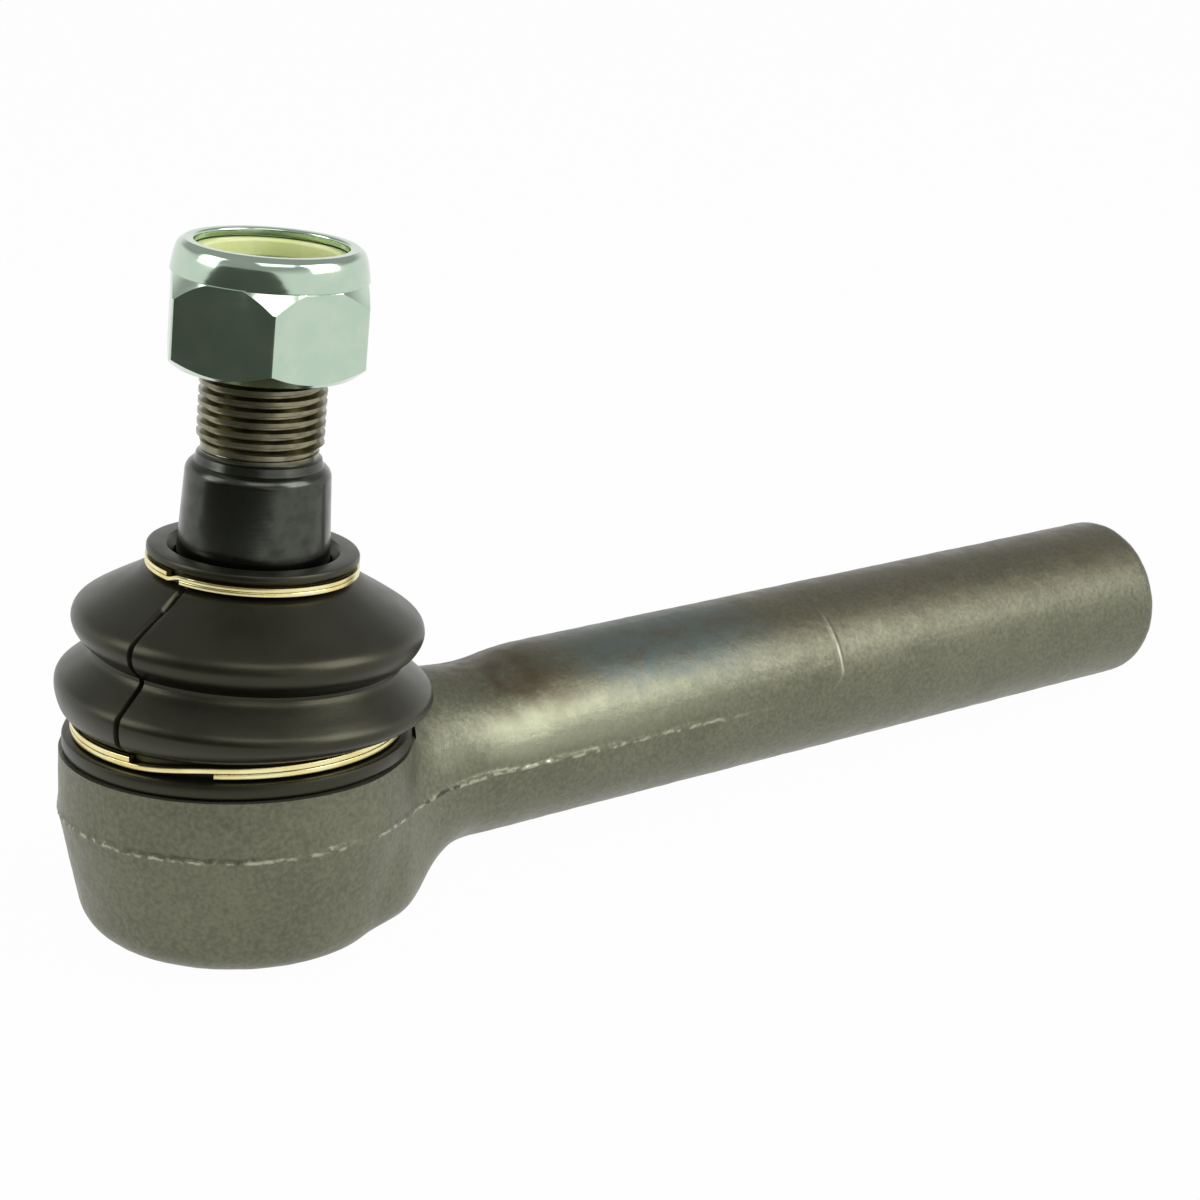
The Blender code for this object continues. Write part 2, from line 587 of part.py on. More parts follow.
def boot_profile():
    """Cross-section of the boot's wall, outside from the cuff up and inside back down."""
    low_half = ring_height(LOWER_RING_STRIP) / 2 + CLEARANCE
    low_mid = lower_ring_middle()
    bulge = BOOT_BOTTOM + BOOT_LOWER_BULGE_HEIGHT
    waist = BOOT_BOTTOM + BOOT_WAIST_HEIGHT
    upper = BOOT_TOP - BOOT_UPPER_BULGE_DROP
    top_half = ring_height(UPPER_RING_STRIP) / 2 + CLEARANCE
    top_mid = upper_ring_middle()
    edge = CLEARANCE * 1.5
    bulge_start = low_mid + low_half
    waist_pull = BOOT_LOWER_BULGE_RADIUS - BOOT_WAIST_RADIUS
    slope_end = top_mid - top_half
    outside = [
        (BOOT_CUFF_RADIUS - edge, BOOT_BOTTOM),
        (BOOT_CUFF_RADIUS, BOOT_BOTTOM + edge),
        (BOOT_CUFF_RADIUS, low_mid - low_half - edge),
        (BOOT_CUFF_RADIUS - edge, low_mid - low_half),
        (BOOT_GROOVE_RADIUS, low_mid - low_half),
        (BOOT_GROOVE_RADIUS, bulge_start),
        (BOOT_CUFF_RADIUS - edge, bulge_start + edge),
        (BOOT_LOWER_BULGE_RADIUS - edge, (bulge_start + bulge) / 2),
        (BOOT_LOWER_BULGE_RADIUS, bulge),
        (BOOT_LOWER_BULGE_RADIUS - 0.22 * waist_pull, bulge + 0.38 * (waist - bulge)),
        (BOOT_WAIST_RADIUS + 0.28 * waist_pull, bulge + 0.74 * (waist - bulge)),
        (BOOT_WAIST_RADIUS, waist),
        ((BOOT_WAIST_RADIUS + BOOT_UPPER_BULGE_RADIUS) / 2, (waist + upper) / 2),
        (BOOT_UPPER_BULGE_RADIUS, upper),
        (BOOT_UPPER_BULGE_RADIUS - edge / 2, upper + 0.25 * (slope_end - upper)),
        (BOOT_UPPER_BULGE_RADIUS - 3 * edge, upper + 0.42 * (slope_end - upper)),
        ((BOOT_UPPER_BULGE_RADIUS + BOOT_TOP_RADIUS) / 2, upper + 0.76 * (slope_end - upper)),
        (BOOT_TOP_RADIUS + edge, slope_end - edge / 2),
        (BOOT_TOP_GROOVE_RADIUS, slope_end),
        (BOOT_TOP_GROOVE_RADIUS, top_mid + top_half),
        (BOOT_TOP_RADIUS, top_mid + top_half + edge / 2),
        (BOOT_TOP_RADIUS, BOOT_TOP - edge),
        (BOOT_TOP_RADIUS - edge, BOOT_TOP),
    ]
    grip = STUD_LAND_RADIUS + CLEARANCE
    wall = BOOT_WALL
    inside = [
        (BOOT_TOP_OPENING_RADIUS, BOOT_TOP),
        (BOOT_TOP_OPENING_RADIUS - edge, top_mid + top_half + 2 * edge),
        (grip, TAPER_START),
        (grip, STUD_LAND_RISE + CLEARANCE),
        (grip + wall, STUD_LAND_RISE - wall / 2),
        ((BOOT_UPPER_BULGE_RADIUS + BOOT_TOP_RADIUS) / 2 - wall / 2, slope_end - 1.9 * wall),
        (BOOT_UPPER_BULGE_RADIUS - 1.2 * wall, upper + 0.25 * (slope_end - upper)),
        (BOOT_UPPER_BULGE_RADIUS - wall, upper),
        (BOOT_WAIST_RADIUS - wall, waist),
        (BOOT_WAIST_RADIUS + 0.28 * waist_pull - wall, bulge + 0.74 * (waist - bulge)),
        (BOOT_LOWER_BULGE_RADIUS - wall, bulge),
        (BOOT_LOWER_BULGE_RADIUS - wall - edge, (bulge_start + bulge) / 2),
        (BOOT_INNER_RADIUS + edge, COLLAR_RISE + CLEARANCE),
        (BOOT_INNER_RADIUS, low_mid),
        (BOOT_INNER_RADIUS, BOOT_BOTTOM),
    ]
    return outside + inside


def build_dust_boot(finish):
    """Rubber bellows: its cuff sits square on the housing and its top leans with the stud."""
    low = lower_ring_middle()
    high = BOOT_BOTTOM + BOOT_LOWER_BULGE_HEIGHT

    def lean(point):
        return lean_matrix(smooth_step(low, high, point.z)) @ point

    return add_object(
        "dust_boot", lathe(boot_profile(), BOOT_SEGMENTS, True, lean), finish, None, BALL_CENTRE
    )


def ring_route(start_deg, gap_deg, radius, middle, strip):
    """Middle line of a flat spiral ring: one level turn, a short jog up, then a second turn.

    The jog lies in the gap between the two ends, so the layers never touch.
    """
    layer = strip + RING_LAYER_GAP
    turn = 360.0 - gap_deg
    angles = []
    per_turn = 24
    for first in (0.0, 360.0):
        angles += [first + turn * index / per_turn for index in range(per_turn + 1)]
    jog_steps = 3
    angles += [turn + gap_deg * index / jog_steps for index in range(1, jog_steps)]
    route = []
    for angle in sorted(angles):
        height = middle + layer * (smooth_step(turn, 360.0, angle) - 0.5)
        turned = math.radians(start_deg + angle)
        route.append(Vector((radius * math.cos(turned), radius * math.sin(turned), height)))
    return route


def least_gap(route, strip):
    """Smallest distance between the strip's layers, found on the points of its middle line."""
    least = math.inf
    apart = len(route) // 4
    for index, point in enumerate(route):
        for other in route[index + apart :]:
            level = math.hypot(point.x - other.x, point.y - other.y)
            least = min(least, math.hypot(level, max(abs(point.z - other.z) - strip, 0.0)))
    return least


def spiral_strip(name, route, width, strip, finish, parent, origin):
    """One unbroken strip of rectangular section along a route about Z."""
    bm = bmesh.new()
    rings = []
    for point in route:
        outward = Vector((point.x, point.y, 0.0)).normalized() * width / 2
        upward = Vector((0.0, 0.0, strip / 2))
        corners = (point - outward - upward, point + outward - upward)
        corners += (point + outward + upward, point - outward + upward)
        rings.append(add_ring(bm, corners))
    skin_rings(bm, rings)
    bm.faces.new(rings[0])
    bm.faces.new(rings[-1])
    print(f"{name}: least gap to itself {least_gap(route, strip):.3f} mm")
    return add_object(name, bm, finish, parent, origin)


def build_boot_rings(axis, finish):
    """Spiral rings that hold the boot on the housing's collar and on the stud."""
    radius = BOOT_GROOVE_RADIUS + CLEARANCE + LOWER_RING_WIDTH / 2
    route = ring_route(
        LOWER_RING_START_DEG, LOWER_RING_GAP_DEG, radius, lower_ring_middle(), LOWER_RING_STRIP
    )
    spiral_strip(
        "boot_ring_lower", route, LOWER_RING_WIDTH, LOWER_RING_STRIP, finish, None, BALL_CENTRE
    )
    radius = BOOT_TOP_GROOVE_RADIUS + CLEARANCE + UPPER_RING_WIDTH / 2
    route = ring_route(
        UPPER_RING_START_DEG, UPPER_RING_GAP_DEG, radius, upper_ring_middle(), UPPER_RING_STRIP
    )
    spiral_strip(
        "boot_ring_upper", route, UPPER_RING_WIDTH, UPPER_RING_STRIP, finish, axis, Vector()
    )


def hex_ring(height_at, turn_deg):
    """Points round the hexagon, with their heights from a function of the local radius."""
    points = []
    for point in ring_of_points(1.0, 0.0, STUD_SEGMENTS, turn_deg):
        angle = math.degrees(math.atan2(point.y, point.x)) - NUT_CORNER_DEG
        from_middle = math.radians((angle % 60.0) - 30.0)
        radius = NUT_ACROSS_FLATS / 2 / math.cos(from_middle)
        points.append(Vector((point.x * radius, point.y * radius, height_at(radius))))
    return points


def build_lock_nut(axis, finish):
    """Hexagon nut with a round collar whose rim is rolled over the locking insert."""
    bm = bmesh.new()
    segments = STUD_SEGMENTS
    chamfer = math.tan(math.radians(NUT_CHAMFER_DEG))
    turn = NUT_CORNER_DEG

    def lower(radius):
        return NUT_BOTTOM + max(radius - NUT_FACE_RADIUS, 0.0) * chamfer

    def upper(radius):
        return NUT_HEX_TOP - max(radius - NUT_COLLAR_RADIUS, 0.0) * chamfer * 2

    edge = NUT_COLLAR_HEIGHT / 4
    outside = [
        ring_of_points(NUT_FACE_RADIUS, NUT_BOTTOM, segments, turn),
        hex_ring(lower, turn),
        hex_ring(upper, turn),
        ring_of_points(NUT_COLLAR_RADIUS, NUT_HEX_TOP + edge / 2, segments, turn),
        ring_of_points(NUT_COLLAR_RADIUS, NUT_TOP - edge, segments, turn),
        ring_of_points(NUT_RIM_RADIUS, NUT_TOP, segments, turn),
        ring_of_points(NUT_RIM_OPENING_RADIUS, NUT_TOP - CLEARANCE, segments),
    ]
    pocket_top = NUT_TOP - edge
    pocket_bottom = pocket_top - INSERT_HEIGHT - 2 * CLEARANCE
    pocket_radius = INSERT_OUTER_RADIUS + CLEARANCE
    bore = [
        (NUT_RIM_OPENING_RADIUS, pocket_top),
        (pocket_radius, pocket_top),
        (pocket_radius, pocket_bottom),
        (NUT_BORE_RADIUS, pocket_bottom),
    ]
    inside = [ring_of_points(r, h, segments) for r, h in bore]
    start = NUT_BOTTOM + THREAD_PITCH
    turns = int((pocket_bottom - start) / THREAD_PITCH)
    minor = STUD_THREAD_RADIUS - THREAD_DEPTH + THREAD_CLEARANCE
    low, high = add_thread(bm, start, turns, minor, NUT_BORE_RADIUS, NUT_BORE_RADIUS, segments)
    mouth = NUT_BORE_RADIUS + NUT_COUNTERSINK
    entry = [
        ring_of_points(NUT_BORE_RADIUS, NUT_BOTTOM + NUT_COUNTERSINK, segments),
        ring_of_points(mouth, NUT_BOTTOM, segments),
    ]
    upper_rings = [add_ring(bm, points) for points in outside + inside]
    lower_rings = [add_ring(bm, points) for points in entry]
    skin_rings(bm, upper_rings + [high])
    skin_rings(bm, [low] + lower_rings + [upper_rings[0]])
    add_object("lock_nut", bm, finish, axis)


def build_locking_insert(axis, finish):
    """Plastic ring held in the nut's collar, bored to pass over the stud's thread."""
    top = NUT_TOP - NUT_COLLAR_HEIGHT / 4 - CLEARANCE
    bottom = top - INSERT_HEIGHT
    edge = CLEARANCE
    profile = [
        (INSERT_OUTER_RADIUS, bottom),
        (INSERT_OUTER_RADIUS, top),
        (NUT_BORE_RADIUS + edge, top),
        (NUT_BORE_RADIUS, top - edge),
        (NUT_BORE_RADIUS, bottom + edge),
        (NUT_BORE_RADIUS + edge, bottom),
    ]
    add_object("nut_locking_insert", lathe(profile, STUD_SEGMENTS, True), finish, axis)


def main():
    """Clear the scene and build every piece of the tie rod end."""
    for old in list(bpy.data.objects):
        bpy.data.objects.remove(old, do_unlink=True)
    forged = material("forged_steel", (0.27, 0.28, 0.23), 0.55, 0.6)
    turned = material("oiled_steel", (0.10, 0.10, 0.09), 0.3, 0.9)
    bearing = material("bearing_plastic", (0.75, 0.73, 0.66), 0.5, 0.0)
    plated = material("zinc_plate", (0.68, 0.76, 0.69), 0.28, 0.9)
    pressed = material("pressed_steel", (0.33, 0.33, 0.30), 0.5, 0.8)
    sprung = material("spring_steel", (0.18, 0.18, 0.19), 0.4, 0.9)
    rubber = material("boot_rubber", (0.035, 0.036, 0.03), 0.6, 0.0)
    sealing = material("seal_rubber", (0.02, 0.02, 0.02), 0.6, 0.0)
    yellow = material("yellow_zinc", (0.72, 0.60, 0.30), 0.3, 0.9)
    nylon = material("nylon", (0.72, 0.72, 0.42), 0.45, 0.0)
    build_housing(forged)
    build_bearing_shells(bearing)
    build_cover(pressed, sprung, sealing)
    build_dust_boot(rubber)
    stud_axis = add_stud_axis()
    build_ball_stud(stud_axis, turned)
    build_boot_rings(stud_axis, yellow)
    build_lock_nut(stud_axis, plated)
    build_locking_insert(stud_axis, nylon)


main()
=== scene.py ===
"""Fine surfaces and finishes of the tie rod end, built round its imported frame.

Pieces are modelled in millimetres and brought to metres when they are done. A rise is a height
above the ball's centre, and a polar angle turns counter-clockwise about Z from +X.
"""

import logging
import math
from contextlib import contextmanager
from dataclasses import dataclass
from enum import Enum
from itertools import pairwise
from typing import Callable, Iterator, Sequence, Union

import bpy
from mathutils import Matrix, Vector, noise

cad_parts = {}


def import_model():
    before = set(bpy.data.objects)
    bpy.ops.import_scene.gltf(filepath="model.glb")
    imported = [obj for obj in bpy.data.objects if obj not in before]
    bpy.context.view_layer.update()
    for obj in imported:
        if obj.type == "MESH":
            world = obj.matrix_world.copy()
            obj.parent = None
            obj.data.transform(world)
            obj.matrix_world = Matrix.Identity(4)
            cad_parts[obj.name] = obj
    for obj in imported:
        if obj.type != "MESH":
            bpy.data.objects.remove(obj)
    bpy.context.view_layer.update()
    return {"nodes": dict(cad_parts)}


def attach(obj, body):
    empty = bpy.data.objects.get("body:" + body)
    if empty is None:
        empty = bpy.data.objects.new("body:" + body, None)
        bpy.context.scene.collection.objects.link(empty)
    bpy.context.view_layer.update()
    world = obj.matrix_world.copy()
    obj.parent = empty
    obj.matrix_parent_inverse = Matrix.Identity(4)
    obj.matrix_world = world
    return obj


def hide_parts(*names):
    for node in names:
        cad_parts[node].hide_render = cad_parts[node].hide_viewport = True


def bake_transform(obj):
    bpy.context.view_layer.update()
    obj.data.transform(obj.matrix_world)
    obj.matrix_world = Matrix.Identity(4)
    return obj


log = logging.getLogger("scene")

Point = tuple[float, float]
Colour = tuple[float, float, float, float]
Item = bpy.types.Object

MM = 0.001
AXIS_HEIGHT = 19.4
STUD_LEAN_DEG = 3.7
STUD_LEAN_HEADING_DEG = -39.0
THREAD_PITCH = 1.5
MERGE_DISTANCE = 5e-4
NOISE_MIDDLE = 0.5
ROUND_POWER = 2.0
# the die's mark on the bar stands at one place along X and hooks back below a rise
WITNESS_PLACE = 108.4
WITNESS_BEND = 3.5
WITNESS_HOOK = 0.28


class Body(Enum):
    """The frame's bodies that pieces ride on."""

    HOUSING = "housing"
    BOOT = "boot"
    BOOT_TOP = "boot_top"
    STUD = "stud"
    NUT_CLIMB = "nut_climb"
    NUT = "nut"


class Cut(Enum):
    """Ways of combining two solids."""

    JOIN = "UNION"
    TAKE = "DIFFERENCE"
    KEEP = "INTERSECT"


@dataclass(frozen=True)
class Span:
    """A stretch in millimetres with soft ends."""

    start: float
    end: float
    soft: float = 1.0


def smooth_step(low: float, high: float, value: float) -> float:
    """Ease from 0 at low to 1 at high.

    Args:
        low: Where the step starts.
        high: Where it ends.
        value: The place that is asked for.

    Returns:
        The eased share between 0 and 1.
    """
    share = min(1.0, max(0.0, (value - low) / (high - low)))
    return share * share * (3 - 2 * share)


def lean_axis() -> Vector:
    """The level axis that the stud leans about, square to the heading it leans to."""
    heading = math.radians(STUD_LEAN_HEADING_DEG)
    return Vector((-math.sin(heading), math.cos(heading), 0.0))


def lean_turn(share: float = 1.0) -> Matrix:
    """The stud's lean at rest as a turn about the ball's centre, or a share of it."""
    return Matrix.Rotation(math.radians(STUD_LEAN_DEG) * share, 4, lean_axis())


def arc(centre: Point, radius: float, start_deg: float, end_deg: float, steps: int) -> list[Point]:
    """Points along a circular arc.

    Args:
        centre: The arc's centre.
        radius: Its radius.
        start_deg: Angle of the first point.
        end_deg: Angle of the last point.
        steps: Number of equal steps between them.

    Returns:
        The points in order, both ends included.
    """
    points = []
    for index in range(steps + 1):
        angle = math.radians(start_deg + (end_deg - start_deg) * index / steps)
        points.append((centre[0] + radius * math.cos(angle), centre[1] + radius * math.sin(angle)))
    return points


def spline(knots: Sequence[Point], steps: int) -> list[Point]:
    """A smooth curve through a row of points.

    Args:
        knots: The points it passes through.
        steps: Number of steps from one knot to the next.

    Returns:
        The points of the curve, both ends included.
    """
    places = [Vector(knot) for knot in knots]
    places = [2 * places[0] - places[1]] + places + [2 * places[-1] - places[-2]]
    points = []
    for index in range(1, len(places) - 2):
        before, here, there, after = places[index - 1:index + 3]
        for step in range(steps):
            share = step / steps
            square = share * share
            cube = square * share
            place = 2 * here + (there - before) * share
            place += (2 * before - 5 * here + 4 * there - after) * square
            place += (3 * here - before - 3 * there + after) * cube
            points.append(tuple(place / 2))
    points.append(tuple(places[-2]))
    return points


def wave(place: Vector, form: Point) -> float:
    """Noise at a place, of a form given as its depth and its rate in a millimetre."""
    depth, rate = form
    return depth * noise.noise(place * rate)


def pick(item: Item) -> None:
    """Select one object alone and make it active.

    Args:
        item: The object.
    """
    bpy.ops.object.select_all(action="DESELECT")
    item.select_set(True)
    bpy.context.view_layer.objects.active = item


@contextmanager
def editing(item: Item, choose_all: bool = True) -> Iterator[None]:
    """Keep one object in edit mode for the steps inside.

    Args:
        item: The object to edit.
        choose_all: Whether all of it is selected at the start.
    """
    pick(item)
    bpy.ops.object.mode_set(mode="EDIT")
    if choose_all:
        bpy.ops.mesh.select_all(action="SELECT")
    yield
    bpy.ops.object.mode_set(mode="OBJECT")


def tidy_surface() -> None:
    """Merge doubled points of the mesh in edit mode and turn its normals outward."""
    bpy.ops.mesh.select_all(action="SELECT")
    bpy.ops.mesh.remove_doubles(threshold=MERGE_DISTANCE)
    bpy.ops.mesh.normals_make_consistent(inside=False)


def settle(item: Item) -> None:
    """Put an object's place into its mesh."""
    pick(item)
    bpy.ops.object.transform_apply(location=True, rotation=True, scale=True)


def added(name: str) -> Item:
    """Name the primitive that was added last and put its place into its mesh.

    Args:
        name: Its new name.

    Returns:
        The named object.
    """
    item = bpy.context.object
    item.name = name
    item.data.name = name
    settle(item)
    return item


def draw_line(name: str, points: Sequence[Point]) -> Item:
    """Draw a half section in the XZ plane by extruding one point along it.

    Args:
        name: Name of the new object.
        points: Radius and height of each point.

    Returns:
        The object with the drawn line.
    """
    places = [Vector((radius, 0.0, height)) for radius, height in points]
    bpy.ops.mesh.primitive_plane_add(size=1.0)
    line = added(name)
    with editing(line):
        bpy.ops.mesh.merge(type="CENTER")
        bpy.ops.transform.translate(value=places[0])
        for before, after in pairwise(places):
            bpy.ops.mesh.extrude_vertices_move(TRANSFORM_OT_translate={"value": after - before})
    return line


def turn(name: str, points: Sequence[Point], steps: int) -> Item:
    """Turn a half section about Z into a solid.

    Args:
        name: Name of the new object.
        points: Radius and height of each point, closed on itself or ending on the axis.
        steps: Number of steps round the axis.

    Returns:
        The turned object.
    """
    item = draw_line(name, points)
    with editing(item):
        bpy.ops.mesh.spin(steps=steps, angle=math.tau, center=(0, 0, 0), axis=(0, 0, 1))
        tidy_surface()
    return item


def apply(item: Item, kind: str, **settings: object) -> None:
    """Give an object one modifier and apply it.

    Args:
        item: The object.
        kind: Blender's name for the modifier.
        settings: The modifier's settings.
    """
    pick(item)
    modifier = item.modifiers.new(kind.lower(), kind)
    for key, value in settings.items():
        setattr(modifier, key, value)
    bpy.ops.object.modifier_apply(modifier=modifier.name)


def combine(item: Item, tool: Item, way: Cut) -> None:
    """Combine a solid with a tool, which is used up.

    Args:
        item: The solid that stays.
        tool: The solid that shapes it.
        way: How the two are combined.
    """
    apply(item, "BOOLEAN", object=tool, operation=way.value, solver="MANIFOLD")
    bpy.data.objects.remove(tool, do_unlink=True)


def wind_thread(name: str, ends: Point, root: float, crest: float, steps: int) -> Item:
    """Wind a screw thread about Z as a solid rod.

    Args:
        name: Name of the new object.
        ends: Lower and upper end.
        root: Radius in the thread's valley.
        crest: Radius at its crest.
        steps: Number of steps in a turn.

    Returns:
        The threaded rod, cut flat at both ends.
    """
    length = ends[1] - ends[0]
    turns = math.ceil(length / THREAD_PITCH) + 2
    # radius and height of each point of the form, the height in pitches
    form = ((root, -1.28), (root, -1.12), (crest, -0.88), (crest, -0.52), (root, -0.28))
    item = draw_line(name, [(radius, share * THREAD_PITCH) for radius, share in form])
    apply(item, "SCREW", axis="Z", angle=math.tau, screw_offset=THREAD_PITCH, iterations=turns,
          steps=steps, render_steps=steps)
    with editing(item):
        bpy.ops.mesh.remove_doubles(threshold=MERGE_DISTANCE)
        bpy.ops.mesh.bisect(plane_co=(0, 0, 0), plane_no=(0, 0, 1), use_fill=True, clear_inner=True)
        bpy.ops.mesh.select_all(action="SELECT")
        bpy.ops.mesh.bisect(plane_co=(0, 0, length), plane_no=(0, 0, 1), use_fill=True, clear_outer=True)
        tidy_surface()
        bpy.ops.transform.translate(value=(0, 0, ends[0]))
    return item


def set_down(item: Item, place: Matrix, smooth_deg: float) -> None:
    """Bring a modelled piece to its place in metres and shade it.

    Args:
        item: The piece, in millimetres.
        place: Turn and shift that it still needs, in millimetres.
        smooth_deg: Edges sharper than this stay sharp.
    """
    item.matrix_world = Matrix.Scale(MM, 4) @ place
    settle(item)
    bpy.ops.object.shade_smooth_by_angle(angle=math.radians(smooth_deg))


def on_stud() -> Matrix:
    """Place of a piece that is modelled upright about the ball and leans with the stud."""
    return Matrix.Translation((0.0, 0.0, AXIS_HEIGHT)) @ lean_turn()


def on_housing() -> Matrix:
    """Place of a piece that is modelled upright about the ball and stays with the housing."""
    return Matrix.Translation((0.0, 0.0, AXIS_HEIGHT))


def tone(red: int, green: int, blue: int) -> Colour:
    """Linear colour of a screen colour.

    Args:
        red: Red from 0 to 255.
        green: Green from 0 to 255.
        blue: Blue from 0 to 255.

    Returns:
        The colour with full alpha.
    """
    parts = []
    for part in (red, green, blue):
        level = part / 255
        parts.append(level / 12.92 if level <= 0.04045 else ((level + 0.055) / 1.055) ** 2.4)
    return parts[0], parts[1], parts[2], 1.0


class Wire:
    """A value in a node tree that adds its own Math nodes when it is reckoned with."""

    def __init__(self, graph: "Graph", socket: bpy.types.NodeSocket) -> None:
        """Keep the socket and the graph that it belongs to."""
        self.graph = graph
        self.socket = socket

    def __add__(self, other: "Value") -> "Wire":
        """Sum with what follows."""
        return self.graph.maths("ADD", self, other)

    def __radd__(self, other: "Value") -> "Wire":
        """Sum with what stands before."""
        return self.graph.maths("ADD", other, self)

    def __sub__(self, other: "Value") -> "Wire":
        """Difference from what follows."""
        return self.graph.maths("SUBTRACT", self, other)

    def __rsub__(self, other: "Value") -> "Wire":
        """Difference from what stands before."""
        return self.graph.maths("SUBTRACT", other, self)

    def __mul__(self, other: "Value") -> "Wire":
        """Product with what follows."""
        return self.graph.maths("MULTIPLY", self, other)

    def __rmul__(self, other: "Value") -> "Wire":
        """Product with what stands before."""
        return self.graph.maths("MULTIPLY", other, self)

    def __abs__(self) -> "Wire":
        """Size without sign."""
        return self.graph.maths("ABSOLUTE", self)

    def swing(self, size: float) -> "Wire":
        """Noise as a swing of that size round zero."""
        return (self - NOISE_MIDDLE) * size


Value = Union[Wire, float, Sequence[float]]


class Graph:
    """The node tree of one material, with a Principled shader at its end."""

    def __init__(self, name: str) -> None:
        """Make an empty material of that name with its shader and output.

        Args:
            name: The material's name.
        """
        self.material = bpy.data.materials.new(name)
        self.material.use_nodes = True
        self.tree = self.material.node_tree
        self.tree.nodes.clear()
        self.shader = self.node("ShaderNodeBsdfPrincipled")
        self.output = self.node("ShaderNodeOutputMaterial", sockets={"Surface": self.wire(self.shader)})
        place = self.node("ShaderNodeTexCoord")
        self.place = Wire(self, place.outputs["Object"])

    @classmethod
    def of_tree(cls, tree: bpy.types.NodeTree) -> "Graph":
        """Work on the emptied tree of a world, where directions take the place of coordinates.

        Args:
            tree: The world's node tree.

        Returns:
            The graph of that tree.
        """
        graph = cls.__new__(cls)
        graph.tree = tree
        tree.nodes.clear()
        graph.place = Wire(graph, graph.node("ShaderNodeTexCoord").outputs["Generated"])
        return graph

    def node(self, kind: str, settings: dict | None = None, sockets: dict | None = None) -> bpy.types.Node:
        """Make one node.

        Args:
            kind: Blender's name for the node type.
            settings: The node's own settings, set first.
            sockets: Values or wires for its inputs.

        Returns:
            The new node.
        """
        made = self.tree.nodes.new(kind)
        for key, value in (settings or {}).items():
            setattr(made, key, value)
        for key, value in (sockets or {}).items():
            self.feed(made.inputs[key], value)
        return made

    def feed(self, socket: bpy.types.NodeSocket, value: Value) -> None:
        """Link a wire to an input or set its value.

        Args:
            socket: The input.
            value: A wire or a plain value.
        """
        if isinstance(value, Wire):
            self.tree.links.new(value.socket, socket)
        else:
            socket.default_value = value

    def shade(self, **sockets: Value) -> None:
        """Feed the shader's inputs, named with underscores for spaces."""
        for key, value in sockets.items():
            self.feed(self.shader.inputs[key.replace("_", " ")], value)

    def end_with(self, surface: "Wire") -> None:
        """Let another shader than the Principled one end the material."""
        self.feed(self.output.inputs["Surface"], surface)

    def wire(self, node: bpy.types.Node, output: int = 0) -> Wire:
        """One output of a node as a wire."""
        return Wire(self, node.outputs[output])

    def maths(self, operation: str, *values: Value) -> Wire:
        """Reckon with one Math node."""
        return self.wire(self.node("ShaderNodeMath", {"operation": operation}, dict(enumerate(values))))

    def most(self, *values: Value) -> Wire:
        """The greatest of the values, of which the first is a wire.

        Args:
            values: Wires or numbers.

        Returns:
            The greatest of them.
        """
        result = values[0]
        for value in values[1:]:
            result = self.maths("MAXIMUM", result, value)
        return result

    def seen_by(self, *kinds: str) -> Wire:
        """1 for rays of any of these kinds and 0 for others."""
        rays = self.node("ShaderNodeLightPath")
        return self.most(*(Wire(self, rays.outputs[f"Is {kind} Ray"]) for kind in kinds))

    def dot(self, first: Value, second: Value) -> Wire:
        """Scalar product of two vectors."""
        settings = {"operation": "DOT_PRODUCT"}
        return self.wire(self.node("ShaderNodeVectorMath", settings, {0: first, 1: second}), 1)

    def scaled(self, vector: Value, factors: Sequence[float]) -> Wire:
        """A vector stretched by one factor a side."""
        settings = {"operation": "MULTIPLY"}
        return self.wire(self.node("ShaderNodeVectorMath", settings, {0: vector, 1: factors}))

    def split(self, vector: Wire) -> tuple[Wire, Wire, Wire]:
        """The three parts of a vector."""
        made = self.node("ShaderNodeSeparateXYZ", sockets={0: vector})
        return self.wire(made, 0), self.wire(made, 1), self.wire(made, 2)

    def mix(self, share: Value, first: Value, second: Value) -> Wire:
        """Mix two colours, all of the second where the share is 1."""
        settings = {"data_type": "RGBA"}
        return self.wire(self.node("ShaderNodeMix", settings, {0: share, 6: first, 7: second}), 2)

    def step(self, value: Value, low: float, high: float) -> Wire:
        """Ease from 0 at low to 1 at high."""
        settings = {"interpolation_type": "SMOOTHSTEP"}
        return self.wire(self.node("ShaderNodeMapRange", settings, {0: value, 1: low, 2: high}))

    def ease(self, value: Value, ends: Point) -> Wire:
        """Ease from 0 to 1 between two places in millimetres."""
        return self.step(value, ends[0] * MM, ends[1] * MM)

    def within(self, value: Value, span: Span) -> Wire:
        """About 1 inside a span and 0 outside it.

        Args:
            value: A place in metres.
            span: The span.

        Returns:
            The share at that place.
        """
        low = span.start * MM
        high = span.end * MM
        soft = span.soft * MM
        return self.step(value, low - soft, low + soft) * (1.0 - self.step(value, high - soft, high + soft))

    def noise(self, size_mm: float, detail: float = 2.0, place: Wire | None = None) -> Wire:
        """Cloudy noise.

        Args:
            size_mm: Rough size of its patches.
            detail: Octaves of finer noise.
            place: Coordinates other than the object's own.

        Returns:
            A value round 0.5.
        """
        sockets = {"Vector": place or self.place, "Scale": 1 / (size_mm * MM), "Detail": detail}
        return self.wire(self.node("ShaderNodeTexNoise", {}, sockets))

    def bump(self, height: Value, depth_mm: float, strength: float = 1.0) -> Wire:
        """A normal for fine relief of that depth."""
        sockets = {"Height": height, "Distance": depth_mm * MM, "Strength": strength}
        return self.wire(self.node("ShaderNodeBump", {}, sockets))


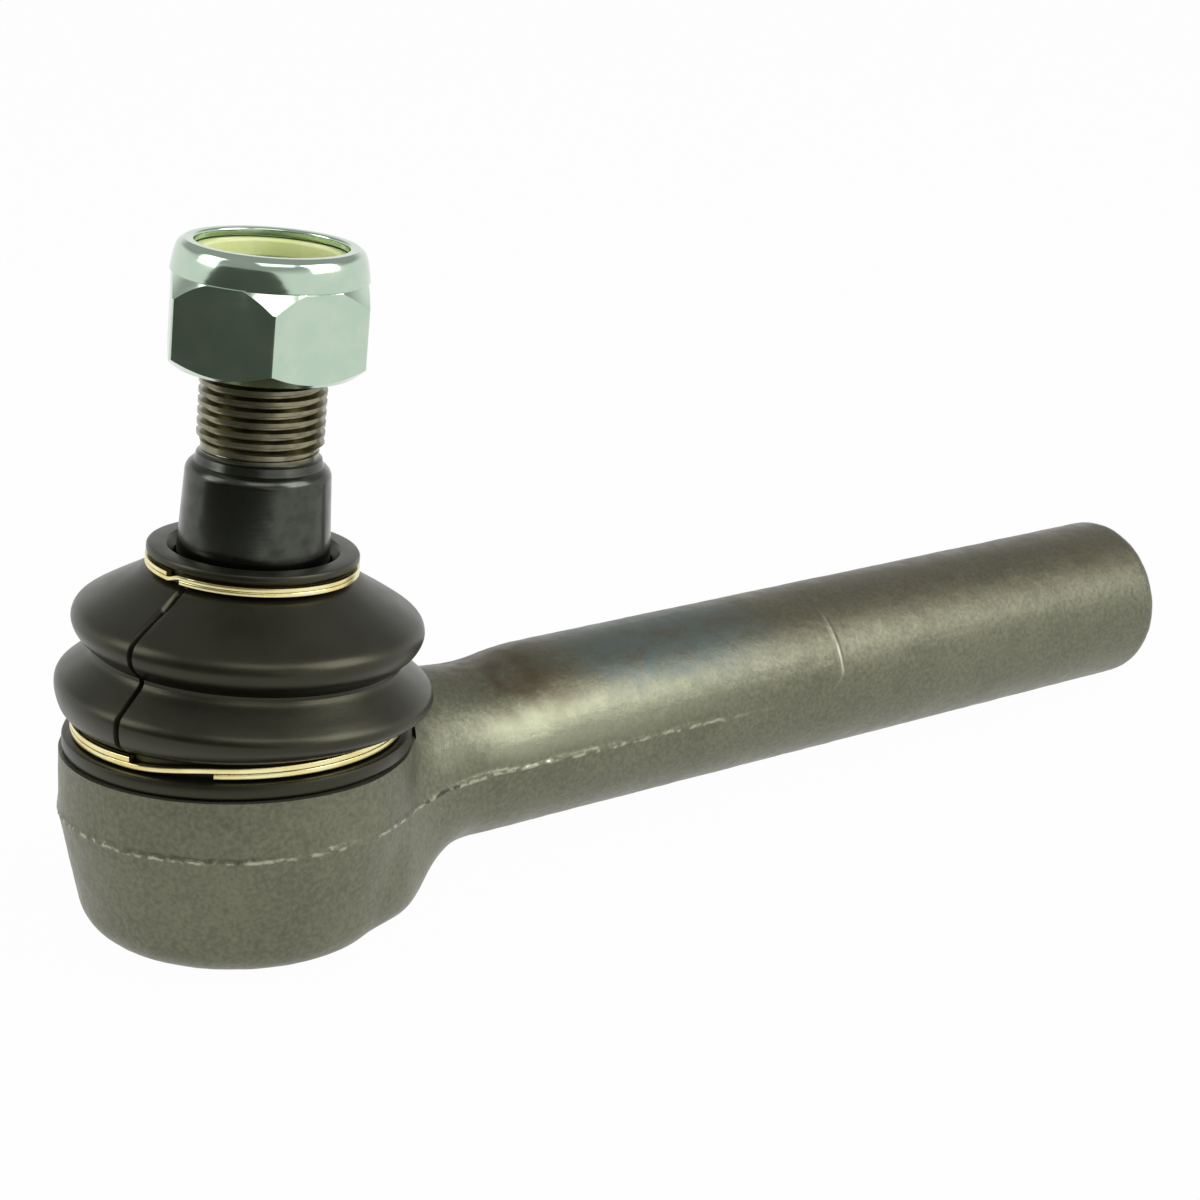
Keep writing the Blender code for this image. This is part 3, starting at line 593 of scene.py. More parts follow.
@dataclass(frozen=True)
class ForgedSteel:
    """Shot-blasted forging, dull olive grey with stains, and bright where flash was sheared off.

    Places are in millimetres along X, rises in millimetres above the parting line.
    """

    light: Colour = tone(122, 122, 102)
    dark: Colour = tone(96, 97, 80)
    bright: Colour = tone(180, 180, 158)
    # painted highlight: the lighter colour of a band on the side facing the camera
    painted_sheen: Colour = tone(150, 153, 128)
    pitted: Colour = tone(52, 52, 42)
    brown: Colour = tone(82, 72, 54)
    blue: Colour = tone(94, 106, 104)
    roughness: float = 0.4
    roughness_swing: float = 0.25
    metallic: float = 0.72
    cloud_weight: float = 0.35
    blotch_weight: float = 0.2
    grain_weight: float = 0.75
    cloud_drift: float = 24.0
    blotch_drift: float = 8.0
    oxide_places: Point = (30.0, 50.0)
    oxide_rises: Point = (4.5, 12.0)
    oxide_drift: float = 4.0
    oxide_share: float = 0.4
    brown_places: Span = Span(36.0, 54.0, 6.0)
    brown_share: float = 0.9
    rust_places: Span = Span(128.0, 178.0, 10.0)
    rust_share: float = 0.6
    blue_places: Span = Span(60.0, 92.0, 11.0)
    blue_share: float = 0.35
    blue_ragged_share: float = 0.5
    pit_places: Span = Span(20.0, 33.0, 3.0)
    pit_share: float = 0.8
    near_side: Point = (-4.0, 4.0)
    # where the painted highlight lies, along X and above the parting line
    painted_sheen_start: Point = (25.0, 41.0)
    painted_sheen_end: Point = (44.0, 96.0)
    painted_sheen_rises: Span = Span(1.4, 8.0, 2.0)
    painted_sheen_share: float = 0.6
    flash_half_width: Point = (0.08, 0.42)
    flash_wander: float = 1.2
    flash_end: Point = (70.0, 98.0)
    flash_end_drift: float = 30.0
    flash_share: float = 0.8
    flash_polish: float = 0.12
    witness_half_width: Point = (0.1, 0.4)
    witness_clear: Span = Span(2.8, 7.5)
    witness_clear_share: float = 0.7
    witness_faint: Span = Span(0.8, 12.0)
    witness_faint_share: float = 0.2
    relief_grain: float = 0.6
    relief_depth: float = 0.08
    relief_strength: float = 0.55

    def paint(self, name: str) -> bpy.types.Material:
        """Make the material of that name.

        Args:
            name: The material's name.

        Returns:
            The material.
        """
        graph = Graph(name)
        along, across, height = graph.split(graph.place)
        up = height - AXIS_HEIGHT * MM
        cloud = graph.noise(size_mm=14.0, detail=4.0)
        blotch = graph.noise(size_mm=3.2, detail=3.0)
        grain = graph.noise(size_mm=0.7, detail=3.0)
        share = cloud * self.cloud_weight + blotch * self.blotch_weight + grain * self.grain_weight
        colour = graph.mix(graph.step(share, low=0.4, high=0.92), self.dark, self.light)
        drift = along + cloud.swing(self.cloud_drift * MM) + blotch.swing(self.blotch_drift * MM)
        top = graph.ease(up + blotch.swing(self.oxide_drift * MM), self.oxide_rises)
        ragged = graph.step(blotch + cloud * 0.6, low=0.55, high=0.95)
        oxide = top * graph.ease(along, self.oxide_places) * self.oxide_share
        colour = graph.mix(oxide, colour, self.brown)
        brown = top * graph.within(drift, self.brown_places) * ragged
        rust = top * graph.within(drift, self.rust_places) * graph.step(cloud, low=0.52, high=0.7)
        colour = graph.mix(graph.most(brown * self.brown_share, rust * self.rust_share), colour, self.brown)
        blue = self.blue_share + ragged * self.blue_ragged_share
        colour = graph.mix(top * graph.within(drift, self.blue_places) * blue, colour, self.blue)
        edge = 1.0 - graph.ease(abs(up + blotch.swing(self.flash_wander * MM)), self.flash_half_width)
        reach = 1.0 - graph.ease(along + cloud.swing(self.flash_end_drift * MM), self.flash_end)
        torn = graph.noise(size_mm=1.9, detail=2.0)
        flash = edge * reach * graph.step(torn, low=0.42, high=0.6)
        pit = edge * graph.within(along, self.pit_places) * (1.0 - graph.step(torn, low=0.4, high=0.55))
        colour = graph.mix(pit * self.pit_share, colour, self.pitted)
        # painted highlight: a lighter band just above the parting line, on the side facing the camera only
        near = 1.0 - graph.ease(across, self.near_side)
        painted_sheen = graph.ease(drift, self.painted_sheen_start) * (1.0 - graph.ease(drift, self.painted_sheen_end))
        painted_sheen = painted_sheen * graph.within(up, self.painted_sheen_rises)
        colour = graph.mix(painted_sheen * near * self.painted_sheen_share, colour, self.painted_sheen)
        bright = graph.most(flash * self.flash_share, self.witness(graph, along, up))
        colour = graph.mix(bright, colour, self.bright)
        fine = graph.noise(size_mm=0.35, detail=1.0)
        relief = grain * self.relief_grain + fine * (1.0 - self.relief_grain)
        graph.shade(
            Base_Color=colour,
            Roughness=self.roughness + blotch.swing(self.roughness_swing) - flash * self.flash_polish,
            Metallic=self.metallic,
            Normal=graph.bump(relief, self.relief_depth, self.relief_strength),
        )
        return graph.material

    def witness(self, graph: Graph, along: Wire, up: Wire) -> Wire:
        """Share of bright metal on the die's mark.

        Args:
            graph: The material's graph.
            along: Place along X.
            up: Rise above the parting line.

        Returns:
            The share.
        """
        below = graph.most(WITNESS_BEND * MM - up, 0.0)
        off_line = abs(along - WITNESS_PLACE * MM + below * below * (WITNESS_HOOK / MM))
        clear = graph.within(up, self.witness_clear) * self.witness_clear_share
        faint = graph.within(up, self.witness_faint) * self.witness_faint_share
        return (1.0 - graph.ease(off_line, self.witness_half_width)) * graph.most(clear, faint)


@dataclass(frozen=True)
class OiledSteel:
    """Machined steel under a dark film of oil, browner on the thread."""

    film: Colour = tone(78, 80, 74)
    thread: Colour = tone(142, 138, 114)
    grime: Colour = tone(40, 39, 35)
    grime_share: float = 0.5
    roughness: float = 0.22
    roughness_swing: float = 0.2
    thread_rise: float = 51.9
    thread_blend: float = 1.5
    line_stretch: tuple[float, float, float] = (0.05, 0.05, 1.0)
    line_depth: float = 0.02
    line_strength: float = 0.3

    def paint(self, name: str) -> bpy.types.Material:
        """Make the material of that name.

        Args:
            name: The material's name.

        Returns:
            The material.
        """
        graph = Graph(name)
        axis = lean_turn() @ Vector((0.0, 0.0, 1.0))
        rise = graph.dot(graph.place, axis) - AXIS_HEIGHT * MM * axis.z
        smear = graph.noise(size_mm=2.4, detail=3.0)
        on_thread = graph.ease(rise, (self.thread_rise, self.thread_rise + self.thread_blend))
        colour = graph.mix(on_thread, self.film, self.thread)
        colour = graph.mix(graph.step(smear, low=0.35, high=0.75) * self.grime_share, colour, self.grime)
        stretched = graph.scaled(graph.place, self.line_stretch)
        lines = graph.noise(size_mm=0.5, detail=2.0, place=stretched)
        graph.shade(
            Base_Color=colour,
            Roughness=self.roughness + smear.swing(self.roughness_swing),
            Metallic=1.0,
            Normal=graph.bump(lines, self.line_depth, self.line_strength),
        )
        return graph.material


@dataclass(frozen=True)
class Plating:
    """Plated steel with faint clouds in its colour and fine draw lines."""

    colour: Colour
    second: Colour
    roughness: float
    cloud_mm: float = 4.0
    cloud_swing: float = 0.12
    line_stretch: tuple[float, float, float] = (0.08, 0.08, 1.0)
    line_swing: float = 0.1
    line_depth: float = 0.01
    line_strength: float = 0.4

    def paint(self, name: str) -> bpy.types.Material:
        """Make the material of that name.

        Args:
            name: The material's name.

        Returns:
            The material.
        """
        graph = Graph(name)
        cloud = graph.noise(self.cloud_mm, detail=4.0)
        colour = graph.mix(graph.step(cloud, low=0.35, high=0.7), self.colour, self.second)
        stretched = graph.scaled(graph.place, self.line_stretch)
        lines = graph.noise(size_mm=0.6, detail=3.0, place=stretched)
        graph.shade(
            Base_Color=colour,
            Roughness=self.roughness + cloud.swing(self.cloud_swing) + lines.swing(self.line_swing),
            Metallic=1.0,
            Normal=graph.bump(lines, self.line_depth, self.line_strength),
        )
        return graph.material


@dataclass(frozen=True)
class Moulding:
    """Rubber or plastic with a fine moulded grain and a little dust in its colour."""

    colour: Colour
    second: Colour
    roughness: float
    roughness_swing: float = 0.2
    sheen: float = 0.5
    sheen_colour: Colour = (1.0, 1.0, 1.0, 1.0)
    cloud_weight: float = 0.7
    grain_weight: float = 0.3
    grain_depth: float = 0.03
    grain_strength: float = 0.35

    def paint(self, name: str) -> bpy.types.Material:
        """Make the material of that name.

        Args:
            name: The material's name.

        Returns:
            The material.
        """
        graph = Graph(name)
        cloud = graph.noise(size_mm=6.0, detail=4.0)
        grain = graph.noise(size_mm=0.5, detail=2.0)
        share = cloud * self.cloud_weight + grain * self.grain_weight
        graph.shade(
            Base_Color=graph.mix(graph.step(share, low=0.35, high=0.7), self.colour, self.second),
            Roughness=self.roughness + cloud.swing(self.roughness_swing),
            Specular_IOR_Level=self.sheen,
            Specular_Tint=self.sheen_colour,
            Normal=graph.bump(grain, self.grain_depth, self.grain_strength),
        )
        return graph.material


FORGED = ForgedSteel()
OILED = OiledSteel()
BRIGHT_ZINC = Plating(tone(184, 204, 186), tone(192, 208, 190), roughness=0.14, line_depth=0.003)
YELLOW_ZINC = Plating(tone(242, 234, 178), tone(230, 212, 146), roughness=0.24, cloud_mm=5.0,
                      line_depth=0.003)
PRESSED = Plating(tone(150, 150, 138), tone(120, 118, 106), roughness=0.36)
SPRING = Plating(tone(90, 88, 84), tone(70, 72, 78), roughness=0.3)
RUBBER = Moulding(tone(16, 16, 12), tone(22, 22, 17), roughness=0.34, sheen_colour=tone(255, 252, 214))
SEAL = Moulding(tone(34, 33, 32), tone(44, 43, 40), roughness=0.55)
NYLON = Moulding(tone(222, 232, 158), tone(232, 238, 176), roughness=0.34)
BEARING = Moulding(tone(226, 222, 206), tone(216, 212, 194), roughness=0.42)

Finish = Union[ForgedSteel, OiledSteel, Plating, Moulding]


def coat(item: Item, finish: Finish, slot: str) -> None:
    """Give an object the one material of its slot."""
    item.data.materials.clear()
    item.data.materials.append(finish.paint(slot + "_finish"))


@dataclass
class Piece:
    """One fine piece that stands for one node of the frame."""

    name: str
    node: str
    body: Body
    slot: str
    finish: Finish

    def build(self) -> Item:
        """Model the piece in its place."""
        raise NotImplementedError

    def hold(self, item: Item) -> None:
        """Let the piece move with its body."""
        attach(item, self.body.value)

    def dress(self, item: Item) -> None:
        """Give the piece its material, named after its slot."""
        coat(item, self.finish, self.slot)

    def make(self) -> None:
        """Model, dress and place the piece."""
        item = self.build()
        item.name = self.name
        item.data.name = self.name
        self.dress(item)
        self.hold(item)
        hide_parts(self.node)
        log.info("%s: %d faces on %s", self.name, len(item.data.polygons), self.body.value)


@dataclass
class Housing(Piece):
    """Forged eye and shank with its flash, and the machined seat, collar, cavity and thread."""

    eye_side: float = 26.0
    eye_top: float = 25.8
    eye_corner: float = 6.5
    eye_draft_deg: float = 11.0
    eye_top_ease: float = 0.4
    parting_half: float = 1.0
    seat_height: float = 28.0
    seat_wall: float = 26.0
    seat_stock: float = 2.0
    collar_radius: float = 21.3
    collar_top: float = 34.2
    collar_edge: float = 1.5
    rim_mouth: float = 13.0
    rim_opening: float = 12.4
    rim_chamfer: float = 0.6
    rim_height: float = 2.5
    cavity_radius: float = 17.0
    cavity_top: float = 20.8
    shell_stop: Point = (14.3, 26.3)
    stud_opening: float = 12.8
    stud_mouth: float = 14.0
    bar_radius: float = 14.0
    bar_end: float = 187.0
    end_rounding: float = 2.5
    bore_minor: float = 8.1
    bore_major: float = 9.0
    bore_depth: float = 40.6
    bore_point: float = 4.9
    bore_mouth: float = 9.6
    bore_chamfer: float = 1.2
    bore_thread: float = 36.6
    neck_start: float = 8.0
    neck_steps: int = 26
    side_fillet: float = 32.0
    under_fillet: float = 11.0
    under_lowest: float = 0.3
    root_reach: float = 0.8
    root_swell: float = 0.18
    under_squareness: float = 5.0
    top_drop: float = 0.35
    saddle_depth: float = 0.9
    saddle_start: float = 31.0
    saddle_middle: float = 42.0
    drop_end: float = 53.0
    voxel: float = 0.63
    blend_start: Point = (4.0, 14.0)
    blend_end: Point = (32.0, 44.0)
    blend_passes: int = 110
    last_passes: int = 3
    smoothing: float = 0.5
    flash_root: float = 0.4
    flash_height: float = 0.34
    flash_core: float = 0.1
    flash_reach: float = 0.75
    flash_fade: Point = (58.0, 97.0)
    flash_band: float = 1.9
    flash_band_end: float = 100.0
    flash_level: float = 0.62
    flash_wander: Point = (0.5, 0.12)
    flash_tears: tuple[Point, Point] = ((0.5, 0.9), (0.4, 2.3))
    dents: tuple[Point, Point] = ((0.05, 0.28), (0.03, 0.8))
    witness_height: float = 0.12
    witness_half_width: Point = (0.1, 0.6)
    witness_foot: Point = (0.2, 2.5)
    witness_head: Point = (8.0, 12.5)
    witness_reach: float = 12.0
    witness_shift: float = 1.0
    witness_band: float = 3.5
    witness_below: float = -1.0

    def eye_corner_centre(self) -> Point:
        """Centre of the rounding between the eye's underside and its drafted side.

        Returns:
            Radius and height of the centre.
        """
        draft = math.radians(self.eye_draft_deg)
        corner_top = self.eye_corner * (1 - math.sin(draft))
        side_end = self.eye_side - (AXIS_HEIGHT - self.parting_half - corner_top) * math.tan(draft)
        return side_end - self.eye_corner * math.cos(draft), self.eye_corner

    def eye(self) -> Item:
        """Turn the eye's forged body.

        Returns:
            The eye's solid.
        """
        stock_top = self.seat_height + self.seat_stock
        profile = [(0.0, 0.0)]
        profile += arc(self.eye_corner_centre(), self.eye_corner, -90, -self.eye_draft_deg, steps=8)
        profile.append((self.eye_side, AXIS_HEIGHT - self.parting_half))
        profile.append((self.eye_side, AXIS_HEIGHT + self.parting_half))
        profile.append((self.eye_top, self.seat_height - self.eye_top_ease))
        profile += [(self.eye_top, stock_top), (0.0, stock_top)]
        return turn("eye", profile, steps=120)

    def section(self, x: float) -> tuple[float, float, float, float]:
        """Outline of the neck and bar at one place along X.

        Args:
            x: The place.

        Returns:
            Half width, bottom, top, and how square the section is below.
        """
        fillet = self.side_fillet
        bar = self.bar_radius
        flash_radius = self.eye_side + self.flash_root
        side_end = math.sqrt((flash_radius + fillet) ** 2 - (bar + fillet) ** 2)
        side_start = side_end * flash_radius / (flash_radius + fillet)
        corner = self.eye_corner_centre()
        under = self.under_fillet
        bottom = AXIS_HEIGHT - bar
        reach = self.eye_corner + under
        root = corner[0] + self.root_reach
        under_end = root + math.sqrt(reach**2 - (corner[1] - bottom + under) ** 2)
        under_start = under_end - (under_end - root) * under / reach
        half_width = bar
        along = max(x, side_start)
        if along < side_end:
            half_width += fillet - math.sqrt(fillet**2 - (side_end - along) ** 2)
        half_width += self.root_swell * (along - x)
        if x < under_start:
            bottom = corner[1] - math.sqrt(self.eye_corner**2 - (max(x, root) - root) ** 2)
            bottom = max(bottom, self.under_lowest)
        elif x < under_end:
            bottom -= under - math.sqrt(under**2 - (under_end - x) ** 2)
        drop = self.top_drop + self.saddle_depth * smooth_step(self.saddle_start, self.saddle_middle, x)
        top = AXIS_HEIGHT + bar - drop * (1 - smooth_step(self.saddle_middle, self.drop_end, x))
        into_end = x - (self.bar_end - self.end_rounding)
        if into_end > 0:
            cut_back = self.end_rounding - math.sqrt(max(0.0, self.end_rounding**2 - into_end**2))
            half_width -= cut_back
            bottom += cut_back
            top -= cut_back
        squareness = self.under_squareness
        squareness += (ROUND_POWER - squareness) * smooth_step(side_start, side_end, x)
        return half_width, bottom, top, squareness

    def shank(self) -> Item:
        """Extrude the neck and bar along X and shape each ring of points to its section.

        Returns:
            The neck and bar as one solid.
        """
        neck = self.drop_end - self.neck_start
        places = [self.neck_start + neck * index / self.neck_steps for index in range(self.neck_steps + 1)]
        rounding = arc((self.bar_end - self.end_rounding, 0.0), self.end_rounding, 0, 90, steps=6)
        places += [x for x, _ in reversed(rounding)]
        bpy.ops.mesh.primitive_circle_add(vertices=72, radius=1.0, fill_type="NGON",
                                          location=(places[0], 0, 0), rotation=(0, math.pi / 2, 0))
        item = added("shank")
        with editing(item):
            for before, after in pairwise(places):
                bpy.ops.mesh.extrude_region_move(TRANSFORM_OT_translate={"value": (after - before, 0, 0)})
            tidy_surface()
        for vertex in item.data.vertices:
            x, side, upward = vertex.co
            half_width, bottom, top, squareness = self.section(x)
            power = ROUND_POWER / squareness if upward < 0 else 1.0
            middle = (bottom + top) / 2
            vertex.co.y = math.copysign(abs(side) ** power, side) * half_width
            vertex.co.z = middle + math.copysign(abs(upward) ** power, upward) * (top - bottom) / 2
        return item

    def forge(self) -> Item:
        """Join eye and shank and run their blends into each other.

        Returns:
            The forged blank.
        """
        item = self.eye()
        combine(item, self.shank(), Cut.JOIN)
        apply(item, "REMESH", mode="VOXEL", voxel_size=self.voxel)
        blend = item.vertex_groups.new(name="blend")
        for vertex in item.data.vertices:
            x = vertex.co.x
            weight = smooth_step(*self.blend_start, x) * (1 - smooth_step(*self.blend_end, x))
            blend.add([vertex.index], weight, "REPLACE")
        apply(item, "SMOOTH", factor=self.smoothing, iterations=self.blend_passes, vertex_group="blend")
        apply(item, "SMOOTH", factor=self.smoothing, iterations=self.last_passes)
        item.vertex_groups.clear()
        return item

    def flash_at(self, place: Vector) -> float:
        """Height of the sheared flash and its end mark on the forging.

        Args:
            place: A point of the surface.

        Returns:
            How far the point stands out.
        """
        wander = wave(place, self.flash_wander)
        coarse, fine = self.flash_tears
        ragged = self.flash_level + wave(place, coarse) + wave(place, fine)
        fade = 1 - smooth_step(*self.flash_fade, place.x)
        off = abs(place.z - AXIS_HEIGHT + wander)
        ridge = 1 - smooth_step(self.flash_core, self.flash_reach, off)
        height = self.flash_height * ridge * fade * max(0.0, ragged)
        if place.x > WITNESS_PLACE - self.witness_reach:
            rise = place.z - AXIS_HEIGHT
            line = WITNESS_PLACE - WITNESS_HOOK * max(0.0, WITNESS_BEND - rise) ** 2
            mark = 1 - smooth_step(*self.witness_half_width, abs(place.x - line))
            mark = self.witness_height * mark * smooth_step(*self.witness_foot, rise)
            height += mark * (1 - smooth_step(*self.witness_head, rise))
        return height

    def raise_flash(self, item: Item) -> None:
        """Refine the forging along its parting line and raise the flash there.

        Args:
            item: The forged blank.
        """
        for polygon in item.data.polygons:
            height = polygon.center.z - AXIS_HEIGHT
            x = polygon.center.x
            by_line = abs(height) < self.flash_band and x < self.flash_band_end
            by_mark = abs(x - WITNESS_PLACE + self.witness_shift) < self.witness_band
            by_mark = by_mark and height > self.witness_below
            polygon.select = by_line or by_mark
        with editing(item, choose_all=False):
            bpy.ops.mesh.select_mode(type="FACE")
            bpy.ops.mesh.subdivide(number_cuts=1)
            bpy.ops.mesh.select_mode(type="VERT")
        wide, small = self.dents
        normals = [vertex.normal.copy() for vertex in item.data.vertices]
        for vertex, normal in zip(item.data.vertices, normals):
            height = self.flash_at(vertex.co)
            height += wave(vertex.co, wide) + wave(vertex.co, small)
            vertex.co += normal * height

    def machine(self, item: Item) -> None:
        """Turn the boot's seat and collar, the cavity and the thread in the shank's end.

        Args:
            item: The forged blank.
        """
        over = 12.0
        past = 2.0
        overlap = 1.0
        seat = [(0.0, self.seat_height), (self.seat_wall, self.seat_height)]
        seat += [(self.seat_wall, self.seat_height + over), (0.0, self.seat_height + over)]
        combine(item, turn("seat", seat, steps=144), Cut.TAKE)
        edge = self.collar_edge
        collar = [(0.0, self.seat_height - overlap), (self.collar_radius, self.seat_height - overlap)]
        collar += arc((self.collar_radius - edge, self.collar_top - edge), edge, 0, 90, steps=5)
        collar.append((0.0, self.collar_top))
        combine(item, turn("collar", collar, steps=144), Cut.JOIN)
        cavity = [(0.0, -past), (self.rim_mouth, -past), (self.rim_mouth, 0.0)]
        cavity += [(self.rim_opening, self.rim_chamfer), (self.rim_opening, self.rim_height)]
        cavity += [(self.cavity_radius, self.rim_height), (self.cavity_radius, self.cavity_top)]
        cavity += [self.shell_stop, (self.stud_opening, self.shell_stop[1])]
        cavity += [(self.stud_mouth, self.collar_top), (self.stud_mouth, self.collar_top + past)]
        cavity.append((0.0, self.collar_top + past))
        combine(item, turn("cavity", cavity, steps=96), Cut.TAKE)
        combine(item, self.bore(), Cut.TAKE)

    def bore(self) -> Item:
        """The tapped hole, made upright and laid along X.

        Returns:
            The solid that cuts the hole.
        """
        past = 2.0
        thread_past = 1.0
        minor = self.bore_minor
        end = self.bar_end
        floor = end - self.bore_depth
        hole = [(0.0, floor - self.bore_point), (minor, floor), (minor, end - self.bore_chamfer)]
        hole += [(self.bore_mouth, end), (self.bore_mouth, end + past), (0.0, end + past)]
        tool = turn("bore", hole, steps=72)
        ends = (end - self.bore_thread, end + thread_past)
        combine(tool, wind_thread("bore_thread", ends, minor, self.bore_major, steps=48), Cut.JOIN)
        tool.matrix_world = Matrix.Translation((0, 0, AXIS_HEIGHT)) @ Matrix.Rotation(math.pi / 2, 4, "Y")
        settle(tool)
        return tool

    def build(self) -> Item:
        """Forge the blank, raise its flash and machine it.

        Returns:
            The finished housing.
        """
        item = self.forge()
        self.raise_flash(item)
        self.machine(item)
        set_down(item, Matrix.Identity(4), smooth_deg=38)
        return item


@dataclass
class BallStud(Piece):
    """Ball, neck, taper, undercut and thread of the pin."""

    ball_radius: float = 14.0
    ball_flat: float = 9.5
    neck_radius: float = 7.5
    neck_rise: float = 17.0
    neck_steps: int = 12
    neck_flare: float = 1.3
    land_radius: float = 11.0
    land_rise: float = 33.5
    taper_rise: float = 37.0
    taper_end: Point = (10.39, 49.2)
    shoulder: float = 1.7
    shoulder_turn_deg: float = 72.0
    undercut: float = 8.0
    undercut_top: float = 0.6
    cove: float = 1.5
    cove_drop: float = 2.2
    cove_start_deg: float = 245.0
    core_height: float = 4.0
    core_draft: float = 0.2
    thread: Point = (54.0, 76.5)
    thread_radius: float = 9.05
    thread_root: float = 8.1
    thread_clear: float = 0.1
    thread_chamfer: float = 0.4
    run_in: float = 1.7
    run_in_step: float = 0.4
    run_in_top: float = 0.3
    end_radius: float = 7.65
    end_rise: float = 77.4

    def build(self) -> Item:
        """Turn the pin, wind its thread and lean it to its rest.

        Returns:
            The finished stud.
        """
        start_deg = -math.degrees(math.asin(self.ball_flat / self.ball_radius))
        end_deg = math.degrees(math.acos(self.neck_radius / self.ball_radius))
        profile = [(0.0, -self.ball_flat)]
        profile += arc((0.0, 0.0), self.ball_radius, start_deg, end_deg, steps=36)
        for index in range(self.neck_steps + 1):
            share = index / self.neck_steps
            radius = self.neck_radius + (self.land_radius - self.neck_radius) * share**self.neck_flare
            profile.append((radius, self.neck_rise + (self.land_rise - self.neck_rise) * share))
        profile.append((self.land_radius, self.taper_rise))
        centre = (self.taper_end[0] - self.shoulder, self.taper_end[1])
        profile += arc(centre, self.shoulder, 0, self.shoulder_turn_deg, steps=8)
        low, high = self.thread
        centre = (self.undercut + self.cove, low - self.cove_drop + self.cove)
        profile += arc(centre, self.cove, self.cove_start_deg, 180, steps=6)
        core = low + self.core_height
        profile += [(self.undercut, low - self.undercut_top), (self.thread_root, low)]
        profile += [(self.thread_root - self.core_draft, core), (0.0, core)]
        item = turn("pin", profile, steps=128)
        combine(item, self.wound(low, high), Cut.JOIN)
        set_down(item, on_stud(), smooth_deg=40)
        return item

    def wound(self, low: float, high: float) -> Item:
        """The thread with its chamfered ends, from its low end to its high one.

        Args:
            low: Rise where the thread starts.
            high: Rise where it ends.

        Returns:
            The threaded end of the pin.
        """
        start = low - self.run_in
        ends = (start, self.end_rise)
        rod = wind_thread("pin_thread", ends, self.thread_root, self.thread_radius, steps=96)
        run_out = self.undercut + self.run_in_step
        full = self.thread_radius + self.thread_clear
        chamfer = [(0.0, start), (run_out, start), (run_out, low - self.run_in_top)]
        chamfer += [(full, low + self.thread_chamfer), (full, high - self.thread_chamfer)]
        chamfer += [(self.end_radius, self.end_rise), (0.0, self.end_rise)]
        combine(rod, turn("pin_chamfer", chamfer, steps=96), Cut.KEEP)
        return rod


@dataclass
class DustBoot(Piece):
    """Rubber bellows from the housing's collar to the stud, with its moulding seam."""

    lean_start: float = 12.33
    lean_end: float = 17.6
    bend_end: float = 35.0
    seam_polar_deg: float = -162.0
    seam_depth: float = 1.2
    seam_half_width: Point = (0.05, 0.5)
    seam_foot: Point = (13.6, 14.6)
    seam_head: Point = (34.6, 35.0)
    seam_facing: float = -0.4
    steps: int = 320

    def outside(self) -> list[Point]:
        """Radius and rise along the outside, from the cuff up.

        Returns:
            The points in order.
        """
        profile = [(24.85, 8.9), (25.16, 9.03), (25.3, 9.35), (25.3, 10.65), (25.16, 10.97), (24.85, 11.1)]
        profile += [(22.8, 11.1), (22.8, 13.45), (23.0, 13.6), (24.2, 13.75)]
        profile += spline([(24.6, 14.0), (25.9, 14.8), (26.95, 16.2), (27.3, 17.4), (27.0, 18.5),
                           (26.0, 19.5), (24.4, 20.8), (23.0, 22.0), (22.5, 22.7)], steps=5)
        profile += spline([(22.6, 23.3), (23.6, 24.2), (24.6, 25.2), (25.2, 26.4), (25.3, 27.4), (24.9, 28.5),
                           (23.8, 29.5), (21.0, 31.2), (18.0, 32.9), (15.65, 34.4)], steps=6)
        profile += [(14.3, 34.9), (14.0, 35.1), (14.0, 36.9), (14.2, 37.1), (15.0, 37.2), (15.2, 37.45)]
        profile += [(15.2, 38.0), (15.03, 38.28), (14.7, 38.4)]
        return profile

    def inside(self) -> list[Point]:
        """Radius and rise along the inside, from the top down.

        Returns:
            The points in order.
        """
        profile = [(12.5, 38.4), (12.3, 38.25), (12.1, 37.8), (11.3, 37.1), (11.3, 33.8), (13.8, 31.8)]
        profile += spline([(16.5, 30.6), (19.0, 29.3), (22.0, 27.9), (22.5, 26.6), (21.2, 24.6),
                           (20.5, 22.8), (22.0, 20.6), (24.2, 18.2), (24.0, 16.4), (22.6, 15.3)], steps=3)
        profile += [(21.8, 14.6), (21.6, 12.33), (21.6, 8.9)]
        return profile

    def build(self) -> Item:
        """Turn the bellows, press in its seam and lean its upper part with the stud.

        Returns:
            The finished boot.
        """
        profile = self.outside() + self.inside()
        profile.append(profile[0])
        item = turn("bellows", profile, self.steps)
        seam = math.radians(self.seam_polar_deg)
        normals = [vertex.normal.copy() for vertex in item.data.vertices]
        for vertex, normal in zip(item.data.vertices, normals):
            place = vertex.co.copy()
            radius = math.hypot(place.x, place.y)
            off = math.remainder(math.atan2(place.y, place.x) - seam, math.tau) * radius
            on_seam = 1 - smooth_step(*self.seam_half_width, abs(off))
            outer = smooth_step(*self.seam_foot, place.z) * (1 - smooth_step(*self.seam_head, place.z))
            if normal.to_2d().dot(place.to_2d()) > self.seam_facing * radius:
                place -= normal * self.seam_depth * on_seam * outer
            share = smooth_step(self.lean_start, self.lean_end, place.z)
            vertex.co = lean_turn(share) @ place
        set_down(item, on_housing(), smooth_deg=34)
        return item

    def hold(self, item: Item) -> None:
        """Put the boot's place into its mesh and leave it tied to no body; the heights of its cuff and its
        top are reckoned but not used.

        Args:
            item: The boot.
        """
        low = (0.0, 0.0, (AXIS_HEIGHT + self.lean_start) * MM)
        high = (0.0, 0.0, (AXIS_HEIGHT + self.bend_end) * MM)
        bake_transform(item)


